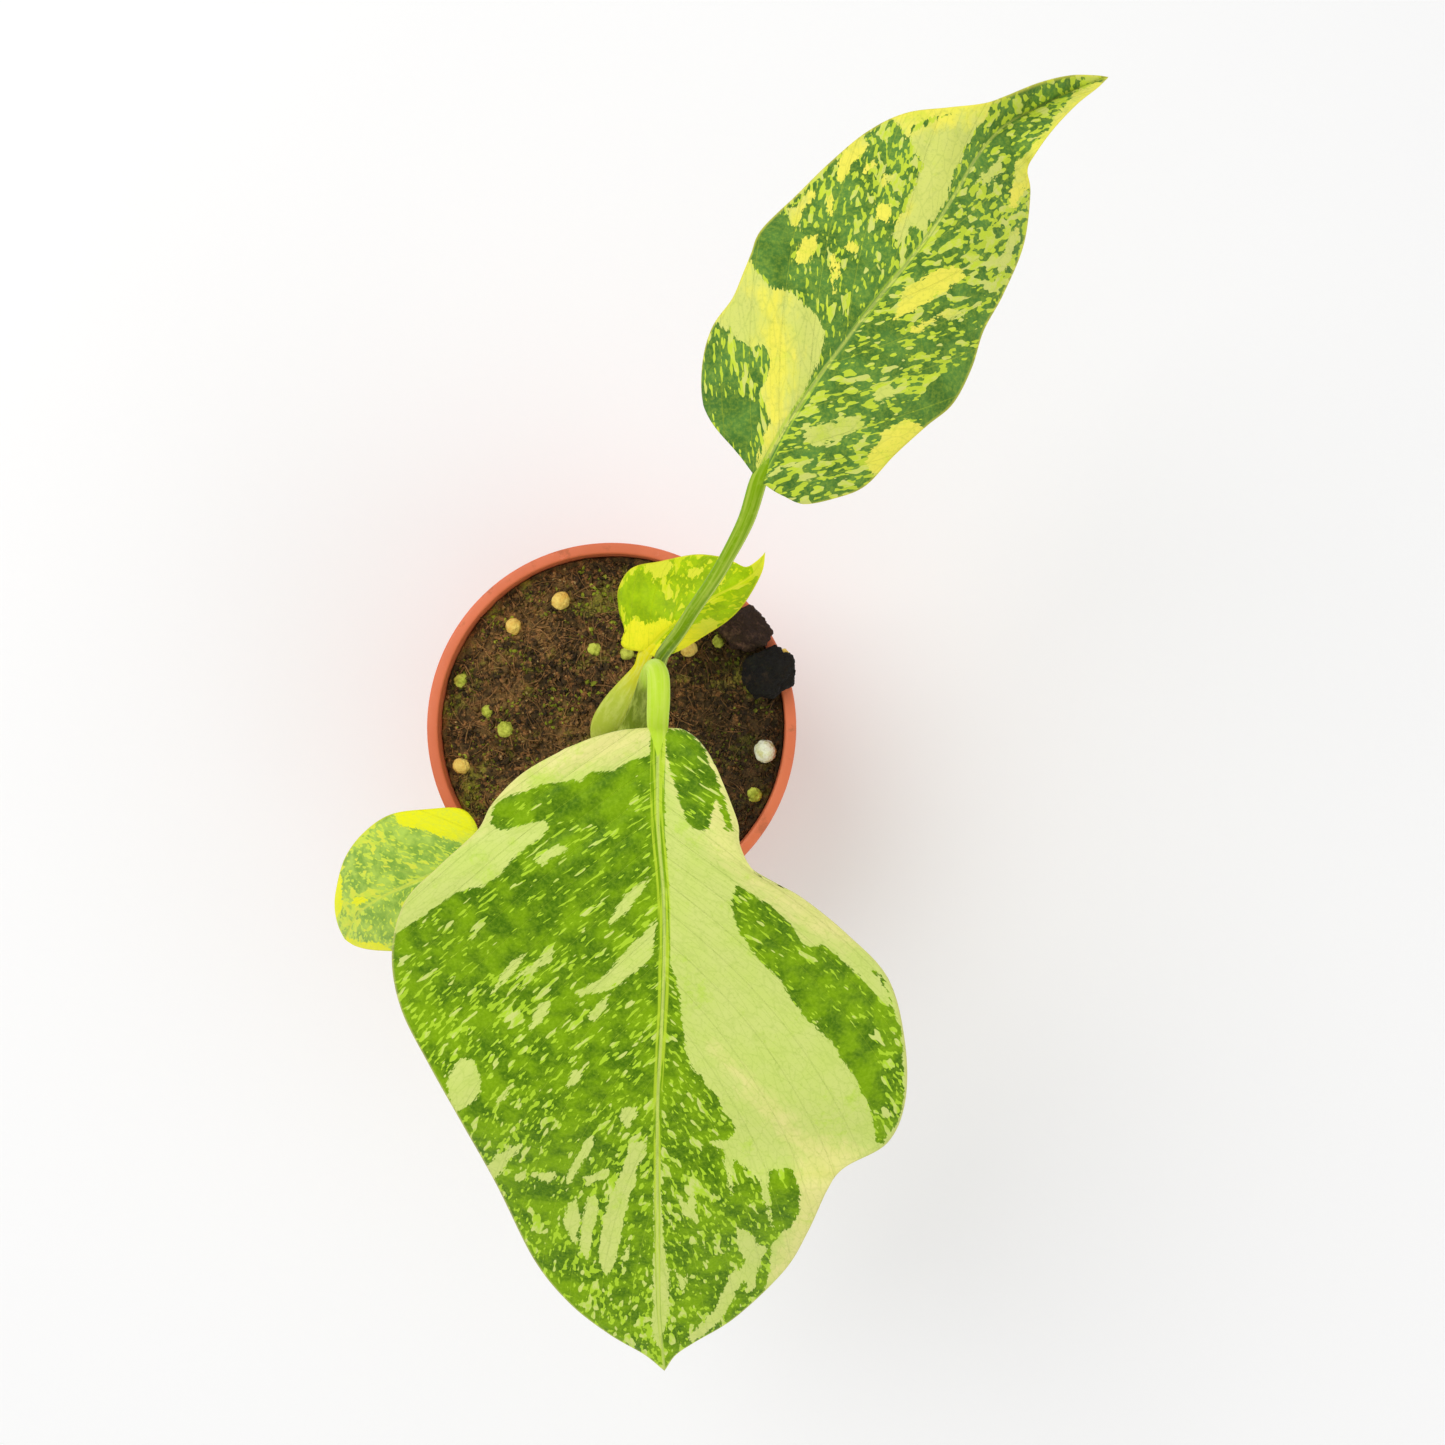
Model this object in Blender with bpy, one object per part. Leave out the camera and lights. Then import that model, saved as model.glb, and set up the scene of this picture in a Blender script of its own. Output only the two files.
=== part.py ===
"""A young variegated monstera in a round plastic nursery pot.

Frame: +Z up, origin at the centre of the pot's flat base. The largest leaf hangs towards -Y.
All sizes below are millimetres and degrees; a mesh becomes metres where it is made.
Heights on the plant are measured from the surface of the potting mix, so the plant follows the pot.
"""

import math
from collections import namedtuple

import bmesh
import bpy
import numpy as np
from mathutils import Vector, noise

MM = 0.001

# ---- Pot -------------------------------------------------------------------------------------
POT_HEIGHT = 72.0
POT_RIM_DIAMETER = 90.0  # over the lip
POT_BASE_DIAMETER = 62.0
POT_WALL = 1.2
LIP_OVERHANG = 1.5  # how far the lip stands out from the collar
LIP_HEIGHT = 2.4
LIP_CURVE = 0.6  # radius of the rounded rim
COLLAR_HEIGHT = 12.0  # the wider band under the lip, which stops stacked pots jamming
COLLAR_STEP = 1.2
COLLAR_TAPER = 0.2
STEP_OFFSET = 0.4  # the step sits this much higher inside the pot than outside
FLOOR_THICKNESS = 1.8
BASE_FILLET = 1.6
DRAIN_COUNT = 8
DRAIN_DIAMETER = 6.0
DRAIN_RING_RADIUS = 23.5
DRAIN_TURN = 9.0  # angle of the first hole
GROOVE_WIDTH = 7.0  # the drain holes open into a groove under the floor
GROOVE_DEPTH = 0.9
OUTLET_WIDTH = 3.0  # slots through the foot, which let the groove run out
OUTLET_DEPTH = 0.7
POT_SIDES = 64

# ---- Potting mix -----------------------------------------------------------------------------
CLEARANCE = 0.3  # between neighbouring solids
SOIL_DROP = 5.0  # from the lip down to the mix
SOIL_ROUGHNESS = 1.1
SOIL_SLACK = 0.4  # how much further the mix stands off the wall below the mouth
LUMP_BANK_SPREAD = 90.0  # square millimetres
STEM_BANK = 1.5
STEM_BANK_SPREAD = 120.0  # square millimetres
SOIL_CEILING = 0.8  # the mix stays this far below the lip
SOIL_RINGS = 9
SOIL_SIDES = 44

# ---- Plant -----------------------------------------------------------------------------------
LEAF_THICKNESS = 0.8
STEM_DIAMETER = 9.0
STEM_ABOVE = 15.0
STEM_BELOW = 16.0
STEM_PLACE = (2.2, -6.0)
STEM_JOINT = 1.1  # how much wider the stem is at the joints that stalks leave
BLADE_ROWS = 28
BLADE_COLUMNS = 6  # on each side of the midrib
TIP_THINNING = 0.6  # share of the thickness lost at the tip

Leaf = namedtuple("Leaf", "base heading midrib left right lobes camber")
Stalk = namedtuple("Stalk", "points widths")

# Blade outlines: (along, across, rise) from the blade's base, with across positive to the right
# of the heading, seen from above. Left and right start beside the stalk and end at the tip, and
# lobes is how far along them the base's own edge runs.
FRONT_LEAF = Leaf(
    base=(15.2, 0.2, 109.0),
    heading=-90.0,
    midrib=((0, 0, 0), (17, 0, 0.8), (30, -0.6, -1.2), (43, -1, -4), (57, -0.5, -9),
            (71.5, 0.5, -14.5), (93.5, 1, -26), (118, 1.2, -39.5), (136.5, 0.5, -50)),
    left=((0, -2.4, 0), (0.5, -5, 0.5), (3, -8, 1.5), (8, -11, 2), (17, -14.5, 0.5),
          (21.5, -15, 1.5), (26.5, -18, 2), (31, -26, -1.5), (39, -35.5, -8), (48, -43.5, -14),
          (60.5, -47, -17.5), (73, -47.5, -21.5), (82.5, -44.5, -27), (87, -36, -25.5),
          (90.5, -32.5, -23), (101, -29, -30.5), (112, -24.5, -40), (123.5, -14.5, -45.5),
          (129.5, -6.5, -47.4)),
    right=((0, 2.4, 0), (0.5, 7, 0.5), (2, 12.5, 1.5), (4.5, 18, 1.5), (8.5, 25, 1),
           (14, 30.5, -0.5), (19, 33.5, -2.5), (25.5, 40.5, -2.5), (32.5, 47.5, -6),
           (43, 51, -12), (54, 50, -16), (65, 44.5, -16), (76.5, 39, -19.5), (91.5, 33.5, -30),
           (109.5, 27, -39.5), (119.5, 20, -42.5), (127, 12, -45.5), (132.5, 4.6, -48.5)),
    lobes=(14, 19),
    camber=0.03,
)
REAR_LEAF = Leaf(
    base=(33.0, 42.4, 133.0),
    heading=50.0,
    midrib=((0, 0, 0), (7.5, -1.5, 3), (16.5, -3, 4.5), (28, -3.5, 6.5), (37, -4, 5.5),
            (48, -4, 3.5), (58.5, -5.5, -0.5), (67.5, -7.2, -5), (75.5, -7.4, -9),
            (84.5, -5.4, -15), (93.5, -2.8, -20.5), (101, 0, -25)),
    left=((0.2, -1.6, 0.3), (1.2, -6.5, 0.5), (2, -11.5, 0.5), (4.5, -16, 0.5), (9.5, -20, 1),
          (14.5, -22, 3), (19.5, -22, 6), (23.5, -23, 8.5), (26.5, -24, 8.5), (31, -25.5, 7),
          (40.5, -25.5, 2), (48.5, -25, 0.5), (57.5, -24, -2.5), (64, -21, -2), (70, -16, -3),
          (74.5, -11.8, -3), (78.5, -10.2, -5.5), (86.5, -7.8, -11.5), (93.5, -5, -17.5),
          (98.5, -2, -22.5)),
    right=((0, 1.6, 0), (0.5, 4.5, -1), (2, 8.5, -2), (6.5, 12, -3.5), (11.5, 14.5, -4.5),
           (18.5, 15, -3), (25.5, 16, -2), (31.5, 17, -2.5), (38.5, 15.5, -3.5), (44.5, 13, -3),
           (52, 11.5, -5), (62.5, 8.5, -10.5), (71, 3.5, -13), (73.5, 0.5, -11.5),
           (75.5, 0, -8.5), (81.5, -0.5, -10), (89.5, -0.5, -15), (96.5, 0, -21)),
    lobes=(17, 9),
    camber=0.06,
)
BACK_LEAF = Leaf(
    base=(9.3, 17.5, 25.0),
    heading=40.0,
    midrib=((0, 0, 0), (6.5, -0.5, 4), (12, 0, 6), (19, 0.5, 6), (25.5, 2, 7.5), (30, 2.6, 9.6),
            (32.6, 1.9, 11), (35, 0.8, 12)),
    left=((-1.2, -1.4, -0.3), (-3, -3.5, -1.5), (-3, -5.5, -2), (-0.5, -7, -1), (1.5, -11.5, -2),
          (4.5, -15.5, -2), (10, -17, 0), (16, -14, 0), (23, -10, 1.5), (27, -5.6, 5.3),
          (28.6, -2.4, 7.5), (29.6, 0.2, 9.6), (31.8, 0.9, 11.2)),
    right=((0.4, 1.4, 0), (2.2, 3, -0.5), (4.8, 4.2, -1), (8, 5, -1.6), (12.5, 5.6, -2),
           (18, 6.4, -1), (22.5, 6.4, 1.5), (27, 5.4, 5), (32, 3.4, 10)),
    lobes=(17, 5),
    camber=0.08,
)
LEFT_LEAF = Leaf(
    base=(-31.7, -30.8, 17.0),
    heading=206.0,
    midrib=((0, 0, 0), (6, 0.5, 0.8), (15.5, 1, -1.5), (25.5, 1.2, -7.5), (34, 0, -15.5),
            (43, -4.4, -28)),
    left=((-0.5, -1.4, 0), (0, -4, -0.3), (2, -8.5, -1.5), (5.5, -12.5, -3), (15, -15, -6),
          (24.5, -14, -12), (34.5, -10.4, -20), (40.5, -7.4, -26.5)),
    right=((-0.5, 1.4, 0), (-3.2, 4, 0), (-4, 8, 0), (-2, 12, 0), (4.5, 15, -1), (14, 18, -4),
           (23, 17, -9), (31, 13.5, -14.5), (37.5, 7.5, -19.5), (40.6, 3.4, -22.8),
           (42.4, -0.6, -26)),
    lobes=(9, 13),
    camber=0.08,
)

# Stalks: points (x, y, height above the mix) and (width, depth) across the stalk at each point.
# The wide lower part is the sheath, which clasps the stem.
FRONT_STALK = Stalk(
    points=((3.0, -5.8, STEM_ABOVE + 1.6), (4.4, -3.6, 26), (8.0, 1.6, 43), (11.4, 7.0, 73),
            (13.4, 10.2, 98), (14.6, 11.0, 107), (15.4, 9.4, 112.2), (15.5, 5.8, 112.8),
            (15.3, 2.6, 111.2), (15.2, 0.8, 109.4)),
    widths=((5.6, 4.6), (6.0, 4.8), (5.6, 4.6), (4.8, 4.2), (3.9, 3.9), (3.9, 3.9), (4.0, 4.0),
            (4.0, 3.8), (4.0, 3.2), (3.8, 2.2)),
)
REAR_STALK = Stalk(  # its lower part lies along the front stalk, in the front stalk's sheath
    points=((16.8, 15.2, 104), (18.9, 17.6, 108.5), (21.8, 21.7, 113), (24.9, 25.8, 118),
            (27.6, 29.9, 122), (31.0, 36.0, 127.8), (32.7, 41.8, 132.6)),
    widths=((2.6, 2.6), (2.5, 2.5), (2.5, 2.5), (2.5, 2.5), (2.6, 2.5), (2.8, 2.4), (2.8, 2.0)),
)
BACK_STALK = Stalk(
    points=((-1.0, 0.6, 10), (1.4, 5.2, 14), (4.6, 9.8, 18), (7.4, 14.0, 21.8), (9.0, 17.0, 24.4)),
    widths=((5.6, 2.4), (5.4, 2.4), (4.0, 2.2), (2.2, 2.0), (2.0, 1.6)),
)
LEFT_STALK = Stalk(
    points=((-7.4, -11.0, 12), (-14.0, -16.6, 17.4), (-22.0, -23.0, 18.8), (-28.4, -28.1, 18.0),
            (-30.7, -30.0, 17.4)),
    widths=((3.8, 2.6), (3.0, 2.4), (2.2, 2.0), (2.0, 1.9), (1.9, 1.6)),
)
SHEATHED_POINTS = 4  # how many of the front stalk's points the rear stalk follows
SHEATHED_WIDTH = 2.6
LOW_START = 5.0  # where the two low stalks leave the stem, above the mix
LOW_START_SIZE = (4.4, 2.4)
STEM_BESIDE = 0.8  # least extra room between the stem and a stalk that rises beside it

# ---- Loose pieces on the mix: (angle, share of the mix's radius, diameter) --------------------
PERLITE = ((112.2, 0.80, 4.6), (134.6, 0.83, 4.2), (-8.9, 0.92, 5.8), (194.2, 0.98, 4.4),
           (46.0, 0.64, 4.4))
GREEN_PERLITE = ((162.8, 0.97, 3.4), (172.6, 0.74, 3.0), (181.0, 0.63, 4.0), (103.3, 0.47, 3.6),
                 (79.1, 0.44, 3.4), (39.0, 0.80, 3.2), (-25.5, 0.92, 3.6))
# Lumps on the rim: (angle, how far inside the lip's edge, half sizes, turn)
BARK_LUMP = (19.2, 4.6, (6.6, 5.4, 3.6), 20.0)
PEAT_LUMP = (36.5, 5.0, (5.0, 6.2, 3.0), 40.0)

rim_radius = POT_RIM_DIAMETER / 2
base_radius = POT_BASE_DIAMETER / 2
mouth_radius = rim_radius - LIP_OVERHANG - POT_WALL
soil_top = POT_HEIGHT - SOIL_DROP
soil_radius = mouth_radius - CLEARANCE


# ---- Helpers ---------------------------------------------------------------------------------
def smooth_curve(points, count):
    """count points, evenly spaced along a Catmull-Rom curve through the given points."""
    p = np.array(points, float)
    p = np.vstack([2 * p[0] - p[1], p, 2 * p[-1] - p[-2]])
    fine = []
    for i in range(1, len(p) - 2):
        for t in np.linspace(0, 1, 16, endpoint=False):
            fine.append(0.5 * (2 * p[i] + (p[i + 1] - p[i - 1]) * t
                               + (2 * p[i - 1] - 5 * p[i] + 4 * p[i + 1] - p[i + 2]) * t ** 2
                               + (3 * p[i] - p[i - 1] - 3 * p[i + 1] + p[i + 2]) * t ** 3))
    fine = np.array(fine + [p[-2]])
    run = np.concatenate([[0], np.cumsum(np.linalg.norm(np.diff(fine[:, :3], axis=0), axis=1))])
    steps = np.linspace(0, run[-1], count)
    return np.column_stack([np.interp(steps, run, fine[:, k]) for k in range(fine.shape[1])])


def finish(name, colour, roughness):
    material = bpy.data.materials.new(name)
    material.use_nodes = True
    shader = material.node_tree.nodes["Principled BSDF"]
    shader.inputs["Base Color"].default_value = (*colour, 1.0)
    shader.inputs["Roughness"].default_value = roughness
    shader.inputs["Metallic"].default_value = 0.0
    return material


def solid(name, vertices, faces, material, smooth_angle=40.0):
    """An object from millimetre vertices, with its faces turned outwards."""
    mesh = bpy.data.meshes.new(name)
    mesh.from_pydata([tuple(float(c) * MM for c in v) for v in vertices], [], faces)
    work = bmesh.new()
    work.from_mesh(mesh)
    bmesh.ops.recalc_face_normals(work, faces=work.faces)
    if work.calc_volume(signed=True) < 0:
        bmesh.ops.reverse_faces(work, faces=work.faces)
    work.to_mesh(mesh)
    work.free()
    mesh.shade_smooth()
    mesh.set_sharp_from_angle(angle=math.radians(smooth_angle))
    obj = bpy.data.objects.new(name, mesh)
    obj.data.materials.append(material)
    bpy.context.scene.collection.objects.link(obj)
    return obj


def cut(obj, *cutters):
    """Cuts each cutter out of obj, and hides the cutters."""
    for cutter in cutters:
        modifier = obj.modifiers.new("cut_" + cutter.name, "BOOLEAN")
        modifier.operation = "DIFFERENCE"
        modifier.solver = "EXACT"
        modifier.object = cutter
        cutter.hide_render = True
        cutter.display_type = "WIRE"


def turned(profile, sides):
    """Vertices and faces of a solid of revolution from (radius, height) points, axis to axis."""
    vertices, rings = [], []
    for radius, height in profile:
        if radius == 0:
            rings.append([len(vertices)] * sides)
            vertices.append((0, 0, height))
            continue
        rings.append(list(range(len(vertices), len(vertices) + sides)))
        for i in range(sides):
            a = math.tau * i / sides
            vertices.append((radius * math.cos(a), radius * math.sin(a), height))
    faces = []
    for lower, upper in zip(rings, rings[1:]):
        for i in range(sides):
            j = (i + 1) % sides
            face = [lower[i], lower[j], upper[j], upper[i]]
            faces.append(list(dict.fromkeys(face)))
    return vertices, faces


def corner(centre, radius, start, end, steps=3):
    """Points of a rounded corner on a turned profile, from one angle to another."""
    angles = np.radians(np.linspace(start, end, steps + 1))
    return [(centre[0] + radius * math.cos(a), centre[1] + radius * math.sin(a)) for a in angles]


def swept(stalk, stations, sides):
    """Vertices and faces of an elliptic tube along a stalk, with rounded ends."""
    rows = smooth_curve([(*p, *w) for p, w in zip(stalk.points, stalk.widths)], stations)
    path = [Vector(row[:3]) for row in rows]
    vertices, faces = [], []
    side = Vector((0, 0, 1)).cross(path[1] - path[0]).normalized()
    for k, point in enumerate(path):
        ahead = (path[min(k + 1, stations - 1)] - path[max(k - 1, 0)]).normalized()
        side = (side - ahead * side.dot(ahead)).normalized()
        up = ahead.cross(side)
        width, depth = rows[k][3] / 2, rows[k][4] / 2
        for i in range(sides):
            a = math.tau * i / sides
            vertices.append(point + side * (width * math.cos(a)) + up * (depth * math.sin(a)))
    for k in range(stations - 1):
        for i in range(sides):
            j = (i + 1) % sides
            faces.append([k * sides + i, k * sides + j, (k + 1) * sides + j, (k + 1) * sides + i])
    faces.append(list(range(sides))[::-1])
    faces.append([(stations - 1) * sides + i for i in range(sides)])
    return vertices, faces


def rooted(stalk):
    """A stalk led from the stem's side, and kept clear of the stem while it rises beside it."""
    centre = Vector(STEM_PLACE)
    clear = STEM_DIAMETER / 2 * STEM_JOINT + LOW_START_SIZE[1] / 2 + CLEARANCE
    onward = Vector(stalk.points[0][:2]) - centre
    points = [(*(centre + onward.normalized() * clear), LOW_START)]
    for x, y, height in stalk.points:
        out = Vector((x, y)) - centre
        if height < STEM_ABOVE:
            out *= max(1.0, (clear + STEM_BESIDE) / out.length)
        points.append((*(centre + out), height))
    return Stalk(points, [LOW_START_SIZE, *stalk.widths])


def sheathed(outer, inner, count, width):
    """The inner stalk, led up from the stem along the outer one's far side."""
    points, widths = [], []
    for k in range(count):
        here, ahead = Vector(outer.points[k]), Vector(outer.points[k + 1])
        axis = (ahead - here).normalized()
        away = Vector((*inner.points[0][:2], 0)) - Vector((*outer.points[k][:2], 0))
        away = (away - axis * away.dot(axis)).normalized()
        reach = max(outer.widths[k]) / 2 + width / 2 + 1.5 * CLEARANCE
        points.append(tuple(here + away * reach))
        widths.append((width, width))
    return Stalk(points + list(inner.points), widths + list(inner.widths))


def blade_sheet(leaf, rows, columns):
    """The blade's middle surface: points from the left edge to the right edge, row by row.

    The first row follows the blade's base from one basal lobe to the other, and the last is the tip.
    """
    tip = leaf.midrib[-1]
    sheet = np.zeros((rows + 1, 2 * columns + 1, 3))
    share = np.linspace(0, 1, rows + 1)
    spine = smooth_curve(leaf.midrib, rows + 1)
    for side, turn, lobe in ((leaf.left, -1, leaf.lobes[0]), (leaf.right, 1, leaf.lobes[1])):
        edge = smooth_curve([leaf.midrib[0], *side, tip], 240)
        steps = np.linspace(0, len(edge) - 1, 240)
        length = np.sum(np.linalg.norm(np.diff(edge, axis=0), axis=1))
        lobe_step = lobe / length * (len(edge) - 1)
        base = np.column_stack([np.interp(np.linspace(0, lobe_step, columns + 1), steps, edge[:, c])
                                for c in range(3)])
        outer = np.column_stack([np.interp(lobe_step + share * (len(edge) - 1 - lobe_step), steps,
                                           edge[:, c]) for c in range(3)])
        for i in range(columns + 1):
            out = i / columns
            straight = base[0] + (base[-1] - base[0]) * out
            line = spine + (outer - spine) * out
            line += (base[i] - straight) * ((1 - share[:, None]) ** 4)
            reach = np.linalg.norm((outer - spine)[:, :2], axis=1)
            line[:, 2] += leaf.camber * reach * 4 * out * (1 - out)
            sheet[:, columns + turn * i] = line
    heading = math.radians(leaf.heading)
    ahead = np.array([math.cos(heading), math.sin(heading)])
    right = np.array([math.sin(heading), -math.cos(heading)])
    plan = sheet[..., :1] * ahead + sheet[..., 1:2] * right
    return np.dstack([plan, sheet[..., 2]]) + leaf.base + (0, 0, soil_top)


def blade(name, leaf, material, rows=BLADE_ROWS, columns=BLADE_COLUMNS):
    """A leaf blade as a thin closed solid around its middle surface."""
    sheet = blade_sheet(leaf, rows, columns)
    down, over = np.gradient(sheet, axis=0), np.gradient(sheet, axis=1)
    normals = np.cross(over, down)
    normals[-1] = normals[-2]
    normals /= np.linalg.norm(normals, axis=2, keepdims=True)
    normals *= np.sign(normals[..., 2:])
    wide = 2 * columns + 1
    vertices = []
    for turn in (0.5, -0.5):
        thinned = 1 - TIP_THINNING * np.linspace(0, 1, rows + 1)[:, None, None] ** 8
        skin = sheet + normals * (turn * LEAF_THICKNESS * thinned)
        vertices.extend(skin[:-1].reshape(-1, 3))
        vertices.append(skin[-1, columns])
    tip = rows * wide
    half = tip + 1
    faces = []
    for first, flip in ((0, 1), (half, -1)):
        for k in range(rows - 1):
            for i in range(wide - 1):
                a = first + k * wide + i
                faces.append([a, a + 1, a + wide + 1, a + wide][::flip])
        for i in range(wide - 1):
            a = first + (rows - 1) * wide + i
            faces.append([a, a + 1, first + tip][::flip])
    border = list(range(wide)) + [k * wide + wide - 1 for k in range(1, rows)] + [tip]
    border += [k * wide for k in range(rows - 1, 0, -1)]
    for a, b in zip(border, border[1:] + border[:1]):
        faces.append([b, a, a + half, b + half])
    return solid(name, vertices, faces, material, 60)


def rough_ball(name, centre, half_sizes, turn, bumps, seed, material, detail=2):
    """A lump with an uneven surface."""
    work = bmesh.new()
    bmesh.ops.create_icosphere(work, subdivisions=detail, radius=1.0)
    spin = math.radians(turn)
    vertices = []
    for v in work.verts:
        swell = 1 + bumps * noise.noise(v.co * 1.7 + Vector((seed * 3.1, seed * 1.7, 0)))
        x, y, z = (v.co[k] * half_sizes[k] * swell for k in range(3))
        vertices.append((centre[0] + x * math.cos(spin) - y * math.sin(spin),
                         centre[1] + x * math.sin(spin) + y * math.cos(spin), centre[2] + z))
    faces = [[v.index for v in f.verts] for f in work.faces]
    work.free()
    return solid(name, vertices, faces, material)


def polar(angle, radius):
    return radius * math.cos(math.radians(angle)), radius * math.sin(math.radians(angle))


# ---- The pieces ------------------------------------------------------------------------------
def make_pot(material):
    """A thin tapered pot with a lip, a stacking collar and a drained base."""
    collar_bottom = POT_HEIGHT - COLLAR_HEIGHT
    collar_radius = rim_radius - LIP_OVERHANG
    groove_inner = DRAIN_RING_RADIUS - GROOVE_WIDTH / 2
    groove_outer = DRAIN_RING_RADIUS + GROOVE_WIDTH / 2
    profile = [(0, 0), (groove_inner, 0), (groove_inner, GROOVE_DEPTH)]
    profile += [(groove_outer, GROOVE_DEPTH), (groove_outer, 0), (base_radius - BASE_FILLET, 0)]
    profile += corner((base_radius - BASE_FILLET, BASE_FILLET), BASE_FILLET, -75, 0)
    profile += [(collar_radius - COLLAR_STEP, collar_bottom - COLLAR_STEP)]
    profile += [(collar_radius - COLLAR_TAPER, collar_bottom), (collar_radius, POT_HEIGHT - LIP_HEIGHT)]
    profile += [(rim_radius, POT_HEIGHT - LIP_HEIGHT)]
    profile += corner((rim_radius - LIP_CURVE, POT_HEIGHT - LIP_CURVE), LIP_CURVE, 0, 90)
    profile += corner((mouth_radius + LIP_CURVE, POT_HEIGHT - LIP_CURVE), LIP_CURVE, 90, 180)
    profile += [(mouth_radius - COLLAR_TAPER, collar_bottom + STEP_OFFSET)]
    profile += [(mouth_radius - COLLAR_STEP, collar_bottom - COLLAR_STEP + STEP_OFFSET)]
    profile += [(base_radius - POT_WALL, FLOOR_THICKNESS), (0, FLOOR_THICKNESS)]
    pot = solid("pot", *turned(profile, POT_SIDES), material)
    cutters = []
    for k in range(DRAIN_COUNT):
        x, y = polar(DRAIN_TURN + 360 * k / DRAIN_COUNT, DRAIN_RING_RADIUS)
        radius = DRAIN_DIAMETER / 2
        shape = turned([(0, -1), (radius, -1), (radius, 2 * FLOOR_THICKNESS),
                        (0, 2 * FLOOR_THICKNESS)], 14)
        moved = [(v[0] + x, v[1] + y, v[2]) for v in shape[0]]
        cutters.append(solid(f"drain_cutter_{k}", moved, shape[1], material))
    inner, outer = groove_outer - 1, base_radius + 2
    for k in range(DRAIN_COUNT // 2):
        angle = DRAIN_TURN + 360 * (2 * k + 0.5) / DRAIN_COUNT
        ends = []
        for reach in (inner, outer):
            for aside in (-OUTLET_WIDTH / 2, OUTLET_WIDTH / 2):
                x, y = polar(angle, reach)
                dx, dy = polar(angle + 90, aside)
                ends.append((x + dx, y + dy))
        box = [(x, y, z) for z in (-1, OUTLET_DEPTH) for x, y in ends]
        sides = [[0, 1, 3, 2], [4, 6, 7, 5], [0, 4, 5, 1], [2, 3, 7, 6], [0, 2, 6, 4], [1, 5, 7, 3]]
        cutters.append(solid(f"outlet_cutter_{k}", box, sides, material))
    cut(pot, *cutters)
    return pot


def lump_place(lump):
    """Centre of a lump that lies across the lip, just clear of it."""
    angle, inside, half_sizes, _ = lump
    x, y = polar(angle, rim_radius - inside)
    return x, y, POT_HEIGHT + CLEARANCE + half_sizes[2] * 1.05


def soil_height(x, y):
    """The mix's surface: uneven, banked up under the lumps on the rim and around the stem."""
    rough = noise.noise(Vector((x * 0.11, y * 0.11, 0.4))) * 1.3
    rough += noise.noise(Vector((x * 0.33, y * 0.33, 7.4))) * 0.7
    height = soil_top + SOIL_ROUGHNESS * rough
    for lump in (BARK_LUMP, PEAT_LUMP):
        cx, cy, _ = lump_place(lump)
        near = math.exp(-((x - cx) ** 2 + (y - cy) ** 2) / LUMP_BANK_SPREAD)
        height += (POT_HEIGHT - 1.2 - soil_top) * near
    away = (x - STEM_PLACE[0]) ** 2 + (y - STEM_PLACE[1]) ** 2
    bank = STEM_BANK * math.exp(-away / STEM_BANK_SPREAD)
    return min(height + bank, POT_HEIGHT - SOIL_CEILING)


def make_soil(material, stem_cutter, pockets):
    """The potting mix, filling the pot, with a socket for the stem and pockets for loose grains."""
    collar_bottom = POT_HEIGHT - COLLAR_HEIGHT
    vertices = [(0, 0, soil_height(0, 0))]
    for ring in range(1, SOIL_RINGS + 1):
        radius = soil_radius * math.sqrt(ring / SOIL_RINGS) - (0.2 if ring == SOIL_RINGS else 0)
        for i in range(SOIL_SIDES):
            x, y = polar(360 * i / SOIL_SIDES, radius)
            vertices.append((x, y, soil_height(x, y)))
    floor = FLOOR_THICKNESS + CLEARANCE
    sides = [(soil_radius - SOIL_SLACK, collar_bottom + 1.5),
             (soil_radius - COLLAR_STEP - SOIL_SLACK, collar_bottom - COLLAR_STEP),
             (base_radius - POT_WALL - CLEARANCE - 0.2, floor)]
    for radius, height in sides:
        vertices += [(*polar(360 * i / SOIL_SIDES, radius), height) for i in range(SOIL_SIDES)]
    vertices.append((0, 0, floor))
    rings = SOIL_RINGS + len(sides)
    faces = []
    for i in range(SOIL_SIDES):
        j = (i + 1) % SOIL_SIDES
        faces.append([0, 1 + i, 1 + j])
        for ring in range(rings - 1):
            a = 1 + ring * SOIL_SIDES
            b = a + SOIL_SIDES
            faces.append([a + i, b + i, b + j, a + j])
        last = 1 + (rings - 1) * SOIL_SIDES
        faces.append([last + i, len(vertices) - 1, last + j])
    soil = solid("soil", vertices, faces, material)
    cut(soil, stem_cutter, *pockets)
    return soil


def stem_rows(grow):
    """(radius, height) down the stem, with two swollen joints where stalks leave it."""
    radius = STEM_DIAMETER / 2
    shape = ((0, 0.0), (0.55, 0.0), (0.9, 0.06), (1.0, 0.2), (0.94, 0.45), (STEM_JOINT, 0.52),
             (0.96, 0.6), (STEM_JOINT, 0.8), (0.92, 0.86), (0.8, 0.95), (0.4, 1.0), (0, 1.0))
    low, high = soil_top - STEM_BELOW - grow, soil_top + STEM_ABOVE + grow
    return [(radius * r + (grow if r else 0), low + (high - low) * t) for r, t in shape]


def make_stem(name, material, grow=0.0):
    vertices, faces = turned(stem_rows(grow), 18)
    placed = [(v[0] + STEM_PLACE[0], v[1] + STEM_PLACE[1], v[2]) for v in vertices]
    return solid(name, placed, faces, material)


def make_stalk(name, stalk, material, stations, sides=10):
    vertices, faces = swept(stalk, stations, sides)
    raised = [(v[0], v[1], v[2] + soil_top) for v in vertices]
    return solid(name, raised, faces, material, 60)


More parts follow.
